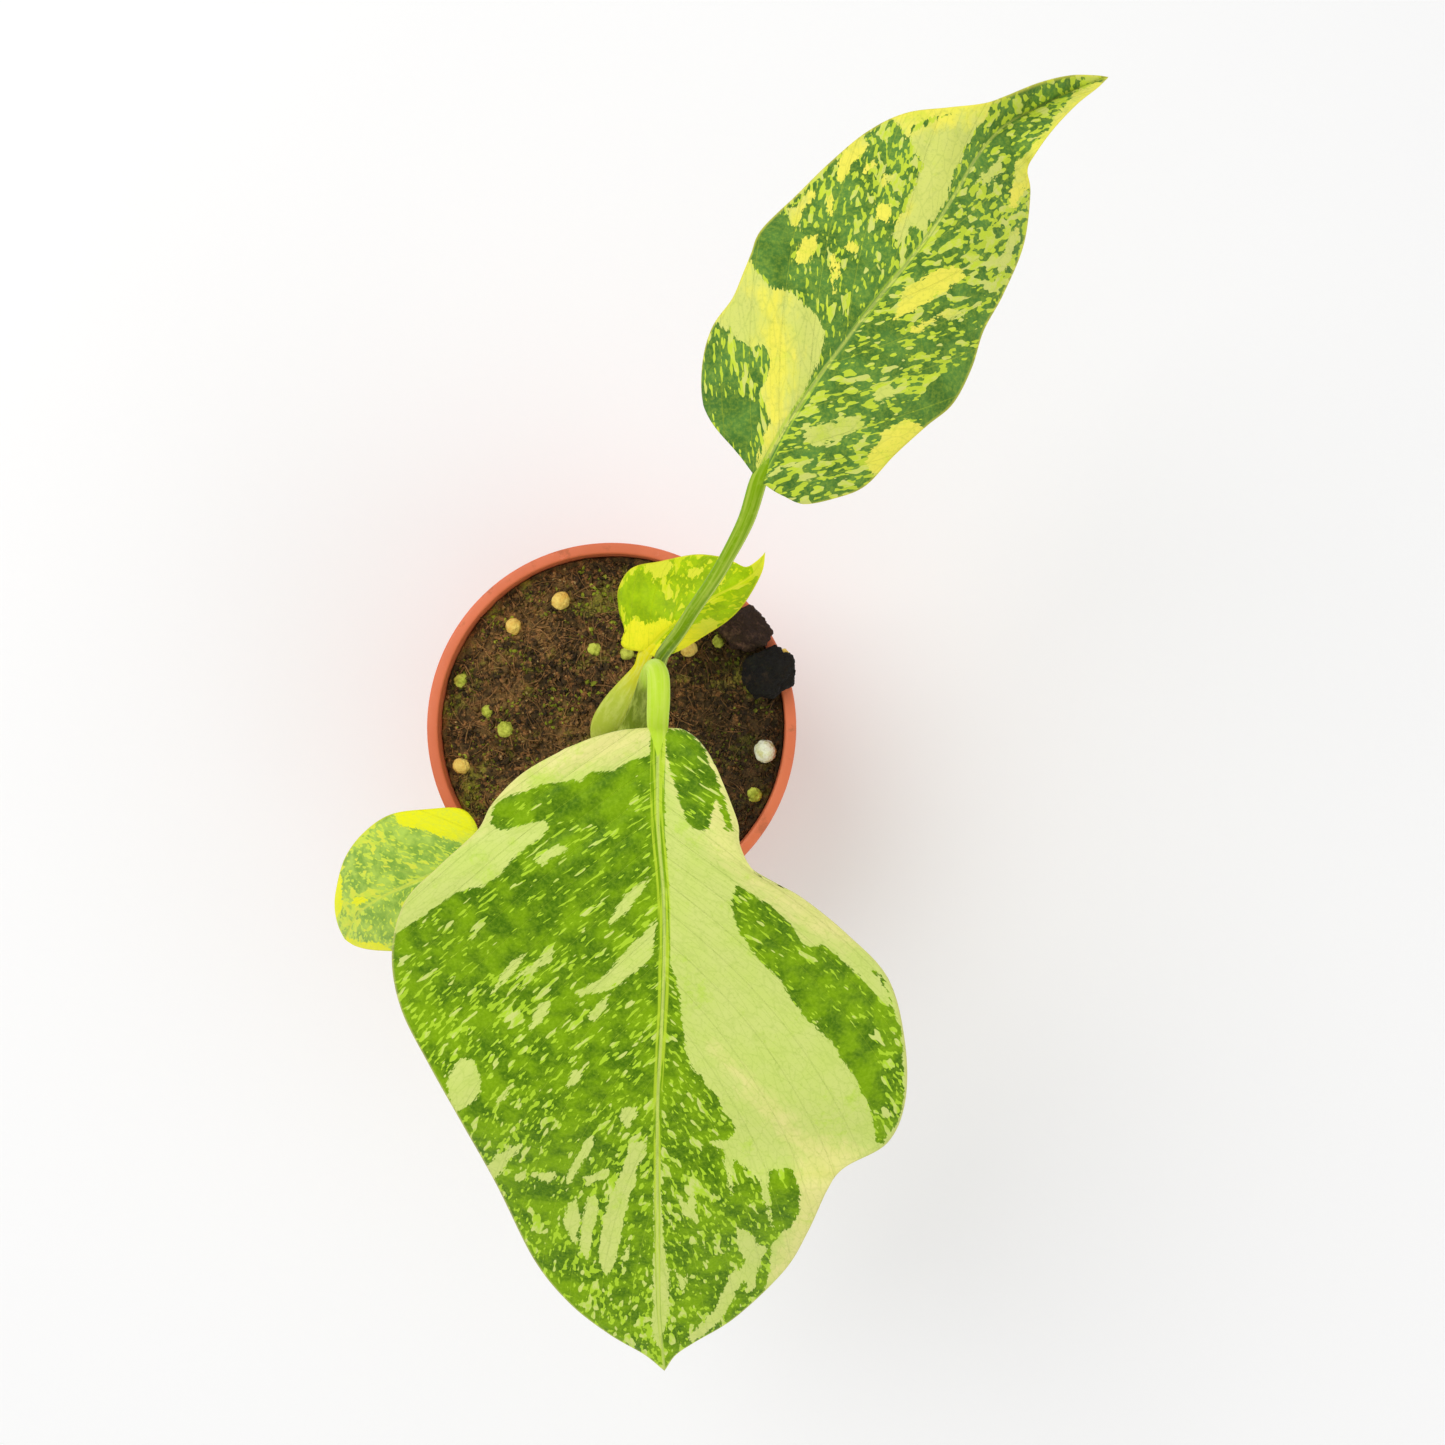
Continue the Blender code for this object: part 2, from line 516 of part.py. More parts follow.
def make_grains(prefix, grains, material, dirt):
    """Grains half sunk in the mix, and the pockets that they sit in."""
    made, pockets = [], []
    for k, (angle, share, size) in enumerate(grains, 1):
        radius = size / 2
        x, y = polar(angle, min(share * soil_radius, soil_radius - radius - 1.2))
        centre = (x, y, soil_height(x, y) + 0.2 * radius)
        halves = (radius, radius * 0.92, radius * 0.9)
        made.append(rough_ball(f"{prefix}_{k}", centre, halves, 40 * k, 0.25, k, material))
        room = [h + CLEARANCE for h in halves]
        pocket = rough_ball(f"pocket_{prefix}_{k}", centre, room, 40 * k, 0.25, k, dirt)
        pockets.append(pocket)
    return made, pockets


def make_lump(name, lump, seed, material):
    _, _, half_sizes, turn = lump
    return rough_ball(name, lump_place(lump), half_sizes, turn + lump[0], 0.3, seed, material, 3)


def main():
    for old in list(bpy.data.objects):
        bpy.data.objects.remove(old)
    terracotta = finish("terracotta_plastic", (0.80, 0.22, 0.12), 0.45)
    dirt = finish("potting_mix", (0.045, 0.026, 0.016), 0.95)
    green = finish("leaf_green", (0.13, 0.30, 0.02), 0.38)
    lime = finish("young_leaf", (0.42, 0.52, 0.03), 0.40)
    stalk_green = finish("stalk_green", (0.30, 0.48, 0.04), 0.40)
    stem_green = finish("stem_green", (0.16, 0.24, 0.04), 0.55)
    white = finish("perlite", (0.78, 0.72, 0.52), 0.9)
    mossy = finish("green_perlite", (0.40, 0.42, 0.09), 0.9)
    bark = finish("bark", (0.03, 0.022, 0.016), 0.9)

    make_pot(terracotta)
    make_stem("stem", stem_green)
    stem_cutter = make_stem("stem_cutter", dirt, CLEARANCE)
    _, pockets = make_grains("perlite", PERLITE, white, dirt)
    _, more_pockets = make_grains("green_perlite", GREEN_PERLITE, mossy, dirt)
    make_soil(dirt, stem_cutter, pockets + more_pockets)
    make_lump("bark_lump", BARK_LUMP, 3, bark)
    make_lump("peat_lump", PEAT_LUMP, 8, bark)
    make_stalk("front_stalk", FRONT_STALK, stalk_green, 30)
    rear_stalk = sheathed(FRONT_STALK, REAR_STALK, SHEATHED_POINTS, SHEATHED_WIDTH)
    make_stalk("rear_stalk", rear_stalk, stalk_green, 40)
    make_stalk("back_stalk", rooted(BACK_STALK), stalk_green, 12)
    make_stalk("left_stalk", rooted(LEFT_STALK), stalk_green, 14)
    blade("front_leaf", FRONT_LEAF, green)
    blade("rear_leaf", REAR_LEAF, green)
    blade("back_leaf", BACK_LEAF, lime, 14, 5)
    blade("left_leaf", LEFT_LEAF, lime, 14, 5)


main()
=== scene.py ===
"""The looks of a young variegated monstera in a plastic nursery pot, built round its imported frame.

Lengths are millimetres until a mesh is made. Leaf outlines and patches are (along, across) from the
blade's base, with across positive to the right of the leaf's heading, seen from above.
"""

import math
from collections import namedtuple

import bmesh
import bpy
import numpy as np
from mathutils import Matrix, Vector, noise


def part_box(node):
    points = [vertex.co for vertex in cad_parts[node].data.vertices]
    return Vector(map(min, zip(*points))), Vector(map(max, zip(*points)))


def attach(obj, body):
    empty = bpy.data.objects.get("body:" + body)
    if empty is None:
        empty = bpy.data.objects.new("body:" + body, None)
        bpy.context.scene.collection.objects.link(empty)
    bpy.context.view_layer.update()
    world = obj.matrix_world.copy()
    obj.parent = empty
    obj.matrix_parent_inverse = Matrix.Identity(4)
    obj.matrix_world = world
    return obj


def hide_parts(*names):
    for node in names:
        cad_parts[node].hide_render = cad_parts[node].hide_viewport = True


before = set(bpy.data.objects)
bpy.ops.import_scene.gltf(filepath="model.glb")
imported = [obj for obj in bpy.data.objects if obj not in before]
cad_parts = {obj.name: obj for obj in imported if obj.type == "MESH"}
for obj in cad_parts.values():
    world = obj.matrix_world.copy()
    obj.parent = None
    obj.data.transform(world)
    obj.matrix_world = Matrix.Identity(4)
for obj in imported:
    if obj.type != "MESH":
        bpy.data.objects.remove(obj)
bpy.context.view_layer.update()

MM = 0.001

# ---- Places that come from the frame ---------------------------------------------------------
POT_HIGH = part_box("pot")[1] / MM
SOIL_DROP = 5.0
pot_height = POT_HIGH.z
rim_radius = POT_HIGH.x
soil_top = pot_height - SOIL_DROP
STEM_PLACE = (2.2, -6.0)

Leaf = namedtuple("Leaf", "base heading midrib left right lobes camber rows columns slope")
Stalk = namedtuple("Stalk", "points widths")

FRONT_LEAF = Leaf(
    base=(15.2, 0.2, 109.0),
    heading=-90.0,
    midrib=((0, 0, 0), (17, 0, 0.8), (30, -0.9, -1.2), (43, -1, -4), (57, -0.3, -9),
            (71.5, 0.6, -14.5), (93.5, 1.1, -26), (118, 1.4, -39.5), (136.5, 0.5, -50)),
    left=((0, -2.4, 0), (0.5, -5, 0.5), (3, -8, 1.5), (8, -11, 2), (17, -14.5, 0.5),
          (21.5, -15, 1.5), (26.5, -18, 2), (31, -26, -1.5), (39, -35.5, -8), (48, -43.5, -14),
          (60.5, -47, -17.5), (73, -47.5, -21.5), (82.5, -44.5, -27), (87, -36, -25.5),
          (90.5, -32.5, -23), (101, -29, -30.5), (112, -24.5, -40), (123.5, -14.5, -45.5),
          (129.5, -5.8, -47.4), (132.6, -1.8, -48.4)),
    right=((0, 2.4, 0), (0.5, 7, 0.5), (2, 12.5, 1.5), (4.5, 18, 1.5), (8.5, 25, 1),
           (14, 30.5, -0.5), (19, 33.5, -2.5), (25.5, 40.5, -2.5), (32.5, 47.5, -6),
           (43, 51, -12), (54, 50, -16), (65, 44.5, -16), (76.5, 39, -19.5), (91.5, 33.5, -30),
           (109.5, 27, -39.5), (119.5, 20, -42.5), (127, 12, -45.5), (132.5, 4.6, -48.5)),
    lobes=(14, 19), camber=0.03, rows=170, columns=64, slope=0.7,
)
REAR_LEAF = Leaf(
    base=(33.0, 42.4, 133.0),
    heading=50.0,
    midrib=((0, 0, 0), (7.5, -1.5, 3), (16.5, -2.6, 4.5), (28, -3.2, 6.5), (37, -3.6, 5.5),
            (48, -4, 3.5), (58.5, -5.5, -0.5), (67.5, -7.2, -5), (75.5, -7.4, -9),
            (84.5, -5.4, -15), (93.5, -2.8, -20.5), (101, 0, -25)),
    left=((0.2, -1.6, 0.3), (1.2, -6.5, 0.5), (2, -11.5, 0.5), (4.5, -16, 0.5), (9.5, -20, 1),
          (14.5, -22, 3), (19.5, -22, 6), (23.5, -23, 8.5), (26.5, -24, 8.5), (31, -25.5, 7),
          (40.5, -25.5, 2), (48.5, -25, 0.5), (57.5, -24, -2.5), (64, -21, -2), (70, -16, -3),
          (74.5, -11.8, -3), (78.5, -10.2, -5.5), (86.5, -7.8, -11.5), (93.5, -5, -17.5),
          (98.5, -2, -22.5)),
    right=((0, 1.6, 0), (0.5, 4.5, -1), (2, 8.5, -2), (6.5, 12, -3.5), (11.5, 14.5, -4.5),
           (18.5, 15, -3), (25.5, 16, -2), (31.5, 17, -2.5), (38.5, 15.5, -3.5), (44.5, 13, -3),
           (52, 11.5, -5), (62.5, 8.5, -10.5), (71, 3.5, -13), (73.5, 0.5, -11.5),
           (75.5, 0, -8.5), (81.5, -0.5, -10), (89.5, -0.5, -15), (96.5, 0, -21)),
    lobes=(17, 9), camber=0.06, rows=150, columns=40, slope=1.3,
)
BACK_LEAF = Leaf(
    base=(9.3, 17.5, 25.0),
    heading=40.0,
    midrib=((0, 0, 0), (6.5, -0.5, 4), (12, 0, 6), (19, 0.5, 6), (25.5, 2, 7.5), (30, 2.6, 9.6),
            (32.6, 1.9, 11), (35, 0.8, 12)),
    left=((-1.2, -1.4, -0.3), (-3, -3.5, -1.5), (-3, -5.5, -2), (-0.5, -7, -1), (1.5, -11.5, -2),
          (4.5, -15.5, -2), (10, -17, 0), (16, -14, 0), (23, -10, 1.5), (27, -5.6, 5.3),
          (28.6, -2.4, 7.5), (29.6, 0.2, 9.6), (31.8, 0.9, 11.2)),
    right=((0.4, 1.4, 0), (2.2, 3, -0.5), (4.8, 4.2, -1), (8, 5, -1.6), (12.5, 5.6, -2),
           (18, 6.4, -1), (22.5, 6.4, 1.5), (27, 5.4, 5), (32, 3.4, 10)),
    lobes=(17, 5), camber=0.08, rows=60, columns=26, slope=1.0,
)
LEFT_LEAF = Leaf(
    base=(-31.7, -30.8, 17.0),
    heading=206.0,
    midrib=((0, 0, 0), (6, 0.5, 0.8), (15.5, 1, -1.5), (25.5, 1.2, -7.5), (34, 0, -15.5),
            (43, -4.4, -28)),
    left=((-0.5, -1.4, 0), (0, -4, -0.3), (2, -8.5, -1.5), (5.5, -12.5, -3), (15, -15, -6),
          (24.5, -14, -12), (34.5, -10.4, -20), (40.5, -7.4, -26.5)),
    right=((-0.5, 1.4, 0), (-3.2, 4, 0), (-4, 8, 0), (-2, 12, 0), (4.5, 15, -1), (14, 18, -4),
           (23, 17, -9), (31, 13.5, -14.5), (37.5, 7.5, -19.5), (40.6, 3.4, -22.8),
           (42.4, -0.6, -26)),
    lobes=(9, 13), camber=0.08, rows=64, columns=28, slope=1.0,
)

# Patches of a blade, laid in order: each "cream" one adds to the pale part and each "green" one
# takes from it. "warm" ones are where the pale part is yellower, and "plain" ones have no flecks.
FRONT_PATCHES = (
    ("cream", ((-6, 0.9), (-6, 20), (8, 38), (20, 48), (30, 54), (42, 56), (39, 50.5), (37.5, 48),
               (35, 44), (33, 41), (30.5, 37.5), (29.5, 35), (29, 32.5), (27.5, 30), (25.5, 28),
               (23.5, 26), (21.5, 24), (20, 21), (18, 20), (16.8, 20.5), (17.2, 23), (18, 25),
               (18.6, 28), (18.6, 30), (17, 30.8), (14.5, 30), (13, 28.5), (11.5, 25), (10.2, 21),
               (9.6, 16.5), (9.8, 14), (8, 12.5), (8, 9), (7, 6.5), (5.5, 4), (5, 1.5), (0, 0.9))),
    ("cream", ((-6, -0.9), (-6, -60), (90, -60), (126, -24), (117, -20.6), (112, -21.4),
               (106, -21.6), (103, -22.2), (101, -23.6), (99.5, -25.8), (96, -27), (92, -27),
               (88.5, -26.4), (86.6, -25), (86.8, -21), (91, -20.8), (99.5, -21.9), (95, -20.3),
               (90, -19.4), (88, -18.5), (85, -15.2), (84, -13.9), (92.5, -13.8), (88, -12.5),
               (83, -12), (80.5, -9.5), (79.8, -13), (78, -14), (75.5, -13.5), (74, -12),
               (70.5, -10.8), (68, -8.6), (66, -7.8), (64.5, -6), (60, -4.6), (55, -4.2),
               (49, -3.6), (46, -2.8), (42, -1.9), (30, -1.9), (18, -1.3), (8, -0.9))),
    ("green", ((0.5, -1.2), (0.2, -4.5), (2, -7.5), (5, -9), (8, -10.5), (12, -11.8), (15.5, -13),
               (18.8, -13.8), (18.5, -12.5), (16, -11.6), (13, -10.8), (13.5, -10.2), (16.5, -10),
               (18.6, -8.8), (18.3, -6.5), (16.5, -5), (13.5, -4), (10, -3), (8, -2.2), (4, -1.5))),
    ("green", ((28.5, -14.2), (30.5, -17), (32.5, -20.5), (36, -24), (38.5, -26), (41, -27),
               (40.5, -30.5), (42, -32.5), (44, -35), (47, -37), (45.5, -40), (47.5, -42.5),
               (52, -43.8), (58, -46.2), (66, -47), (72, -47.2), (77, -46.6), (81, -44.6),
               (83.5, -43), (82.4, -42.2), (80, -42), (76, -41), (72, -39.5), (68, -37.2),
               (64, -35), (60.5, -33), (57.5, -30), (53.5, -26.2), (50, -24), (47, -22.5),
               (44, -19.5), (41, -17), (37, -14.5), (33, -13.4))),
    ("cream", ((44, -36), (48, -38.5), (51, -41), (53, -43.5), (50, -43.4), (46, -40))),
    ("cream", ((35, 0.4), (38, 2.8), (41, 5.8), (44, 8.4), (47, 11.4), (48.5, 14), (49.6, 17),
               (49.8, 13), (49, 9.4), (46.5, 6.2), (45, 4), (44.2, 2.4), (42, 1.2), (38, 0.6))),
    ("cream", ((27.5, 1.6), (29, 4.2), (31, 6.7), (33.5, 8.2), (36.4, 9.4), (35, 7), (33, 5.4),
               (30.5, 3.3), (28.5, 1.8))),
    ("cream", ((22, 16), (21.6, 18), (22.4, 20.2), (24.8, 22.6), (25, 21), (23.6, 19.5),
               (23, 17.4))),
    ("cream", ((50, 9.4), (51.6, 11.6), (54, 13.6), (55.6, 12.6), (53.5, 11), (52, 9.8))),
    ("cream", ((51.5, 20.2), (51.8, 22.6), (54, 23.8), (57.2, 24.8), (55.6, 22.5), (54, 21.2))),
    ("cream", ((41.3, 24.6), (43.2, 27), (45, 29), (47, 30.4), (50, 31.8), (46.6, 28.2),
               (44, 25.6))),
    ("cream", ((41.2, 19.6), (42.8, 21.8), (44.5, 24.4), (46.6, 27), (45.4, 23.4), (43, 20.2))),
    ("cream", ((63.2, 35.5), (63.2, 38.5), (65, 39.6), (68, 41.2), (71, 41.2), (74.6, 40.2),
               (73, 37.5), (71.5, 35.8), (70, 34.4), (66, 34.8))),
    ("cream", ((65, 15.4), (65.2, 16.8), (68.4, 18), (67.6, 16), (66, 15))),
    ("cream", ((67.4, 27.6), (68.8, 29.6), (71, 31.4), (74.8, 33.2), (72.4, 31.6), (69.6, 29))),
    ("cream", ((78, 12.8), (80, 14.8), (84, 17), (88, 18.5), (92, 19.4), (88, 17.2), (84, 15),
               (81, 13.4))),
    ("cream", ((80, 26), (82.5, 29.8), (84, 32.8), (87, 35), (90.6, 34.2), (88, 32), (85.5, 30.4),
               (83, 28.2))),
    ("cream", ((80, 2.8), (80, 5), (84, 7), (88, 8.6), (92, 10.2), (97, 11.7), (102, 12.7),
               (106, 13.4), (109, 13.2), (112.5, 12), (109.5, 10.4), (108, 9.8), (103, 8.6),
               (98, 7.8), (93, 6.8), (90, 5.4), (87, 5.2), (84, 4.2), (81.5, 2.8))),
    ("cream", ((92.5, 13.2), (93, 15.2), (97, 15.8), (101, 16.7), (105, 17.2), (108.5, 15.6),
               (104, 14.8), (100, 14), (96, 12.9))),
    ("cream", ((93.4, 17.4), (95, 19.2), (99, 20), (102, 19.6), (104.6, 17.8), (100, 16.9),
               (96.5, 16.8))),
    ("cream", ((72.4, 4.8), (73, 7.2), (76, 7.8), (77, 6.5), (74, 4.6))),
    ("cream", ((87.6, 21), (87.6, 24.8), (90, 24.4), (89.4, 21.6))),
    ("cream", ((87.4, 27), (89.6, 30.2), (90.4, 28.6), (88.6, 26.8))),
    ("cream", ((86, 10.8), (88.5, 15.4), (90.4, 15), (89, 12), (87.4, 10.4))),
    ("cream", ((104, 7), (107, 8.8), (110, 8.6), (107, 7.4))),
    ("cream", ((91, -2.4), (94, -3.2), (97, -4.2), (98.6, -7), (94, -6.6), (91, -6.2),
               (94, -4.6))),
    ("cream", ((96, -1.2), (100, -2), (103.4, -3.2), (99, -1.4))),
    ("cream", ((110, -2), (113, -4.6), (116, -3.6), (113, -2.6))),
    ("cream", ((99.5, -14.2), (100.5, -16.5), (102, -18.4), (104, -18.8), (105, -20.6),
               (110, -19.4), (114, -18.6), (117, -17.8), (113.5, -16.2), (117.5, -14.4),
               (121, -12.8), (124.5, -10.8), (127, -8.8), (129.5, -5), (127.5, -4.6),
               (124, -7.6), (120.5, -10.4), (116, -12), (112, -13.4), (110.5, -15.2),
               (108, -16.3), (105.5, -15.2), (102, -14.8))),
    ("cream", ((84, 0.1), (95, 0.1), (104, 0.1), (112, -0.9), (120, -1), (126, 0.8), (130, 1.6),
               (126, 3), (120, 2.6), (112, 2.3), (104, 2), (95, 2), (84, 1.1))),
    ("warm", ((-6, 1), (-6, 30), (15, 38), (22, 40), (19, 33), (14, 30), (9, 20), (6, 8), (3, 1))),
    ("warm", ((-6, -1), (-6, -30), (30, -60), (42, -40), (39, -30), (33, -22), (28, -16),
              (22, -10), (8, -2))),
    ("warm", ((60, -10), (66, -14), (84, -27), (90, -26), (100, -26), (114, -21), (114, -40),
              (84, -40), (80, -28), (70, -20))),
    ("plain", ((5, 5), (10, 20), (16, 18), (18, 8), (11, 4))),
    ("plain", ((48, -26), (60, -34), (74, -41), (74, -44), (60, -40))),
)
REAR_PATCHES = (
    ("cream", ((1, -0.8), (4, -2.8), (8, -4.5), (9.5, -6.5), (10.5, -8.5), (13, -9), (16, -10.5),
               (16.5, -13), (15, -16), (15.5, -19), (15, -21.5), (15, -28), (26, -28),
               (25.8, -24), (24.6, -20), (24.2, -17), (26, -15.5), (25.5, -12), (26, -9),
               (24.5, -6.5), (21, -4.5), (17, -3.4), (12, -2.4), (8, -1.5), (4, -0.9))),
    ("cream", ((30.5, -17.5), (31, -15.8), (34, -16.3), (36.6, -17.8), (34, -19.4), (32, -18.5))),
    ("cream", ((30.4, -9.4), (32, -10), (34.4, -11.6), (36.6, -13.4), (35.2, -14), (33, -12))),
    ("cream", ((37.8, -13.3), (37.8, -11.6), (39.4, -11.4), (39.4, -13))),
    ("cream", ((34.8, -22.4), (37, -21.9), (38.5, -22.8), (42.8, -22.8), (42.8, -24.4),
               (38.8, -24.2), (37, -24.4))),
    ("cream", ((40.2, -18.6), (41, -18.2), (44.2, -21.4), (43.4, -21.6))),
    ("cream", ((44.8, -12.4), (46, -11), (49.2, -12), (47.5, -13.8))),
    ("cream", ((46.6, -21.6), (47, -20.4), (50, -21.8), (55.5, -22), (57, -24.6), (52, -24.8),
               (48.5, -23.2))),
    ("cream", ((43.4, -8.4), (45, -7.2), (49, -7), (48.5, -5.2), (53, -5.2), (58, -6.6),
               (62, -8.2), (66, -9.4), (71, -10.2), (75, -10.6), (78, -14), (72, -22), (66, -26),
               (62, -24), (61.5, -19.5), (60, -16.2), (58.5, -12.6), (55, -11.6), (51, -10.4),
               (48, -9.6))),
    ("green", ((60.5, -17.6), (63, -17.4), (66, -16.4), (69.6, -14.8), (66, -17.2),
               (62.5, -18.3))),
    ("cream", ((1, 0.8), (4, 2.1), (6, 4.1), (7.6, 4.8), (5, 2.2), (2, 1))),
    ("cream", ((9.5, 1.6), (10, 4), (13, 5.5), (16, 7), (18.2, 8.4), (18.6, 6), (15.5, 3.5),
               (13, 2), (11, 1))),
    ("cream", ((22.5, 5.8), (22.6, 7.8), (25.5, 8.3), (25.8, 6.8), (24, 5.6))),
    ("cream", ((14, 12), (14, 15), (19, 18), (25.4, 18), (24, 12.5), (20, 11), (17, 11.5))),
    ("cream", ((34, 0.6), (35, 1.2), (37.5, 2.1), (40, 2.8), (44, 3.8), (48.6, 5), (48.6, 2.4),
               (46, 0.8), (43, -0.2), (40, -1.2), (38, -1.4), (37, -0.4))),
    ("cream", ((40.4, 5.2), (41, 7.6), (43.6, 8.8), (43, 6.4))),
    ("cream", ((35, 3.8), (36, 5.1), (39.6, 5.7), (37.5, 4.3))),
    ("cream", ((50, 10), (53, 9.4), (58, 8.4), (62, 7), (64, 5.8), (62, 5.2), (57, 7.2),
               (52, 8.8))),
    ("cream", ((62.4, -4.4), (65, -2.7), (69, -2.9), (70.6, -4), (66, -4.6))),
    ("cream", ((68.6, 0.4), (72, -1.6), (78, -1), (85, -1.8), (92, -2.2), (98, -1), (99, 3),
               (85, 3), (74, 3), (70, 2), (66, 3.2), (64.6, 2.4))),
    ("cream", ((50.6, -19.6), (50.6, -18.8), (53.4, -18.9), (53.6, -19.6))),
    ("cream", ((50.6, -15.8), (51, -14.8), (53.4, -15), (53, -16.2))),
    ("warm", ((3, -2), (9, -6.5), (15, -11.5), (23, -18.5), (25, -16), (18, -8), (10, -3),
              (4, -1))),
    ("warm", ((15, -23), (15, -28), (26, -28), (25, -23))),
    ("warm", ((60, -28), (62, -18), (68, -14), (78, -8), (80, -20))),
    ("warm", ((33, -2), (33, 6), (50, 6), (50, -2))),
    ("warm", ((64, 6), (64, 0), (80, -1.4), (99, -2), (99, 5))),
    ("warm", ((13, 10), (13, 18), (26, 18), (26, 11))),
    ("warm", ((30, -20), (30, -9), (50, -10), (57, -26), (44, -26))),
    ("plain", ((24.2, -17), (25.5, -20), (26.5, -24.5), (28, -28), (36.5, -28), (35, -24),
               (33, -22.5), (30.5, -20), (28.5, -18), (27, -16.2))),
    ("plain", ((26, 12.6), (26.5, 19), (34, 19), (42, 16), (38, 14), (34, 12.6), (30, 12))),
    ("plain", ((2, -5), (2, -9.5), (3, -12), (8, -12), (9, -8), (7, -5.5))),
)
BACK_PATCHES = (
    ("cream", ((-6, -9), (0, -7.6), (3.4, -7.2), (4.2, -4.6), (8, -3.2), (9.6, -1), (4, 0.6),
               (2, 3), (-6, 3))),
    ("cream", ((6, 2.6), (10, 2), (15, 2.8), (17, 4.6), (16, 8), (6, 8))),
    ("cream", ((12.4, -15.5), (12.6, -11), (15, -10.4), (18, -11), (17, -15.5))),
    ("cream", ((20, -8), (22.6, -6), (22, -5), (18, -6.6))),
    ("cream", ((31, 0), (31, 5), (37, 3), (37, 0))),
    ("warm", ((-6, -9), (-6, 4), (12, 8), (12, -1), (4, -8))),
    ("plain", ((3, -15), (11, -15), (11, -6), (6, -5), (3, -9))),
)
LEFT_PATCHES = (
    ("cream", ((-6, 4), (-6, 14), (6, 20), (13.4, 19), (13, 14.6), (9.6, 12.6), (6.4, 9.8),
               (2.4, 5.6), (0, 4))),
    ("cream", ((33, 12), (34.5, 8), (36.4, 5), (38, 3), (41, 1.6), (44, 0), (44, 12))),
    ("cream", ((29, 2), (31, 3.8), (35, 3.4), (33, 1.8))),
    ("cream", ((30, -12), (33, -8.4), (38, -6.4), (42, -4), (44, -12))),
    ("warm", ((-6, 4), (-6, 20), (14, 20), (14, 14), (4, 6))),
    ("warm", ((28, -14), (28, 14), (46, 14), (46, -14))),
)

# Stalks run on at both ends, into the stem's side and under the blade's midrib.
FRONT_STALK = Stalk(
    points=((2.5, -6.0, 13.0), (3.2, -5.4, 17.5), (4.4, -3.6, 26), (8.0, 1.6, 43), (11.4, 7.0, 73),
            (13.4, 10.2, 98), (14.6, 11.0, 107), (15.4, 9.4, 112.2), (15.5, 5.8, 112.8),
            (15.3, 2.6, 111.2), (15.2, 0.2, 109.0), (15.2, -3.0, 108.5), (15.25, -7.0, 108.7)),
    widths=((4.6, 4.0), (5.6, 4.6), (6.0, 4.8), (5.6, 4.6), (4.8, 4.2), (3.9, 3.9), (3.9, 3.9),
            (4.1, 4.1), (4.2, 4.0), (4.1, 3.4), (3.8, 2.5), (3.0, 1.8), (1.8, 0.9)),
)
REAR_STALK = Stalk(
    points=((4.6, -3.4, 12.5), (5.6, -2.0, 17.0), (8.0, 0.2, 26), (10.6, 5.6, 43),
            (13.6, 10.6, 73), (15.4, 13.6, 97), (16.8, 15.2, 104), (18.9, 17.6, 108.5),
            (21.8, 21.7, 113), (24.9, 25.8, 118), (27.6, 29.9, 122), (31.0, 36.0, 127.8),
            (33.0, 42.0, 132.6), (34.5, 45.1, 133.6), (36.7, 49.1, 135.0)),
    widths=((2.2, 2.2), (2.6, 2.6), (2.6, 2.6), (2.6, 2.6), (2.6, 2.6), (2.6, 2.6), (2.6, 2.6),
            (2.5, 2.5), (2.5, 2.5), (2.5, 2.5), (2.6, 2.5), (2.9, 2.5), (3.0, 2.2), (2.2, 1.5),
            (1.3, 0.8)),
)
BACK_STALK = Stalk(
    points=((-2.4, -7.0, 0.5), (-2.1, -3.4, 3.5), (-1.3, 0.6, 9), (1.4, 5.2, 14), (4.6, 9.8, 18),
            (7.4, 14.0, 21.8), (9.2, 17.3, 24.5), (11.6, 19.4, 26.6)),
    widths=((4.4, 2.0), (6.2, 2.4), (7.0, 2.4), (6.4, 2.4), (4.6, 2.2), (2.6, 2.0), (3.4, 1.5),
            (1.4, 0.8)),
)
LEFT_STALK = Stalk(
    points=((-1.6, -7.8, 2.0), (-4.2, -9.4, 6), (-7.4, -11.0, 12), (-14.0, -16.6, 17.4),
            (-22.0, -23.0, 18.8), (-28.4, -28.1, 18.0), (-31.6, -30.7, 16.9),
            (-34.4, -32.1, 17.0)),
    widths=((3.4, 2.0), (4.4, 2.4), (3.8, 2.6), (3.0, 2.4), (2.2, 2.0), (2.0, 1.9), (2.2, 1.4),
            (1.2, 0.7)),
)

BLADE_THICKNESS = 0.5
VEIN_SPACING = 6.5
VEIN_RELIEF = 0.16
SIDE_SHIFT = 0.23  # how far the side veins of the two halves are out of step, in vein spacings
PATCH_REACH = 9.0  # patch depths are kept within this many millimetres
BLADE_ROUGHNESS, BLADE_SPECULAR, BLADE_GRAIN_DEPTH = 0.44, 0.1, 0.12 * MM
RELIEF_FROM_RIB, RELIEF_FROM_EDGE = 5, 6  # millimetres over which the relief grows
RIB_AT_BASE, RIB_TAPER = 1.3, 0.95  # millimetres, and how much of it is gone at the tip
RIB_GROOVE_WIDTH, RIB_GROOVE_DEPTH, KEEL_DEPTH = 0.7, 0.28, 0.85  # shares of the rib's size
EDGE_TAPER, EDGE_SHARE = 1.5, 0.45  # millimetres, and the share of the thickness at the edge


# ---- Colours and nodes -----------------------------------------------------------------------
def tint(red, green, blue):
    """A linear colour from display values out of 255."""
    return (*(((c / 255 + 0.055) / 1.055) ** 2.4 if c > 10 else c / 3295 for c in
              (red, green, blue)), 1.0)


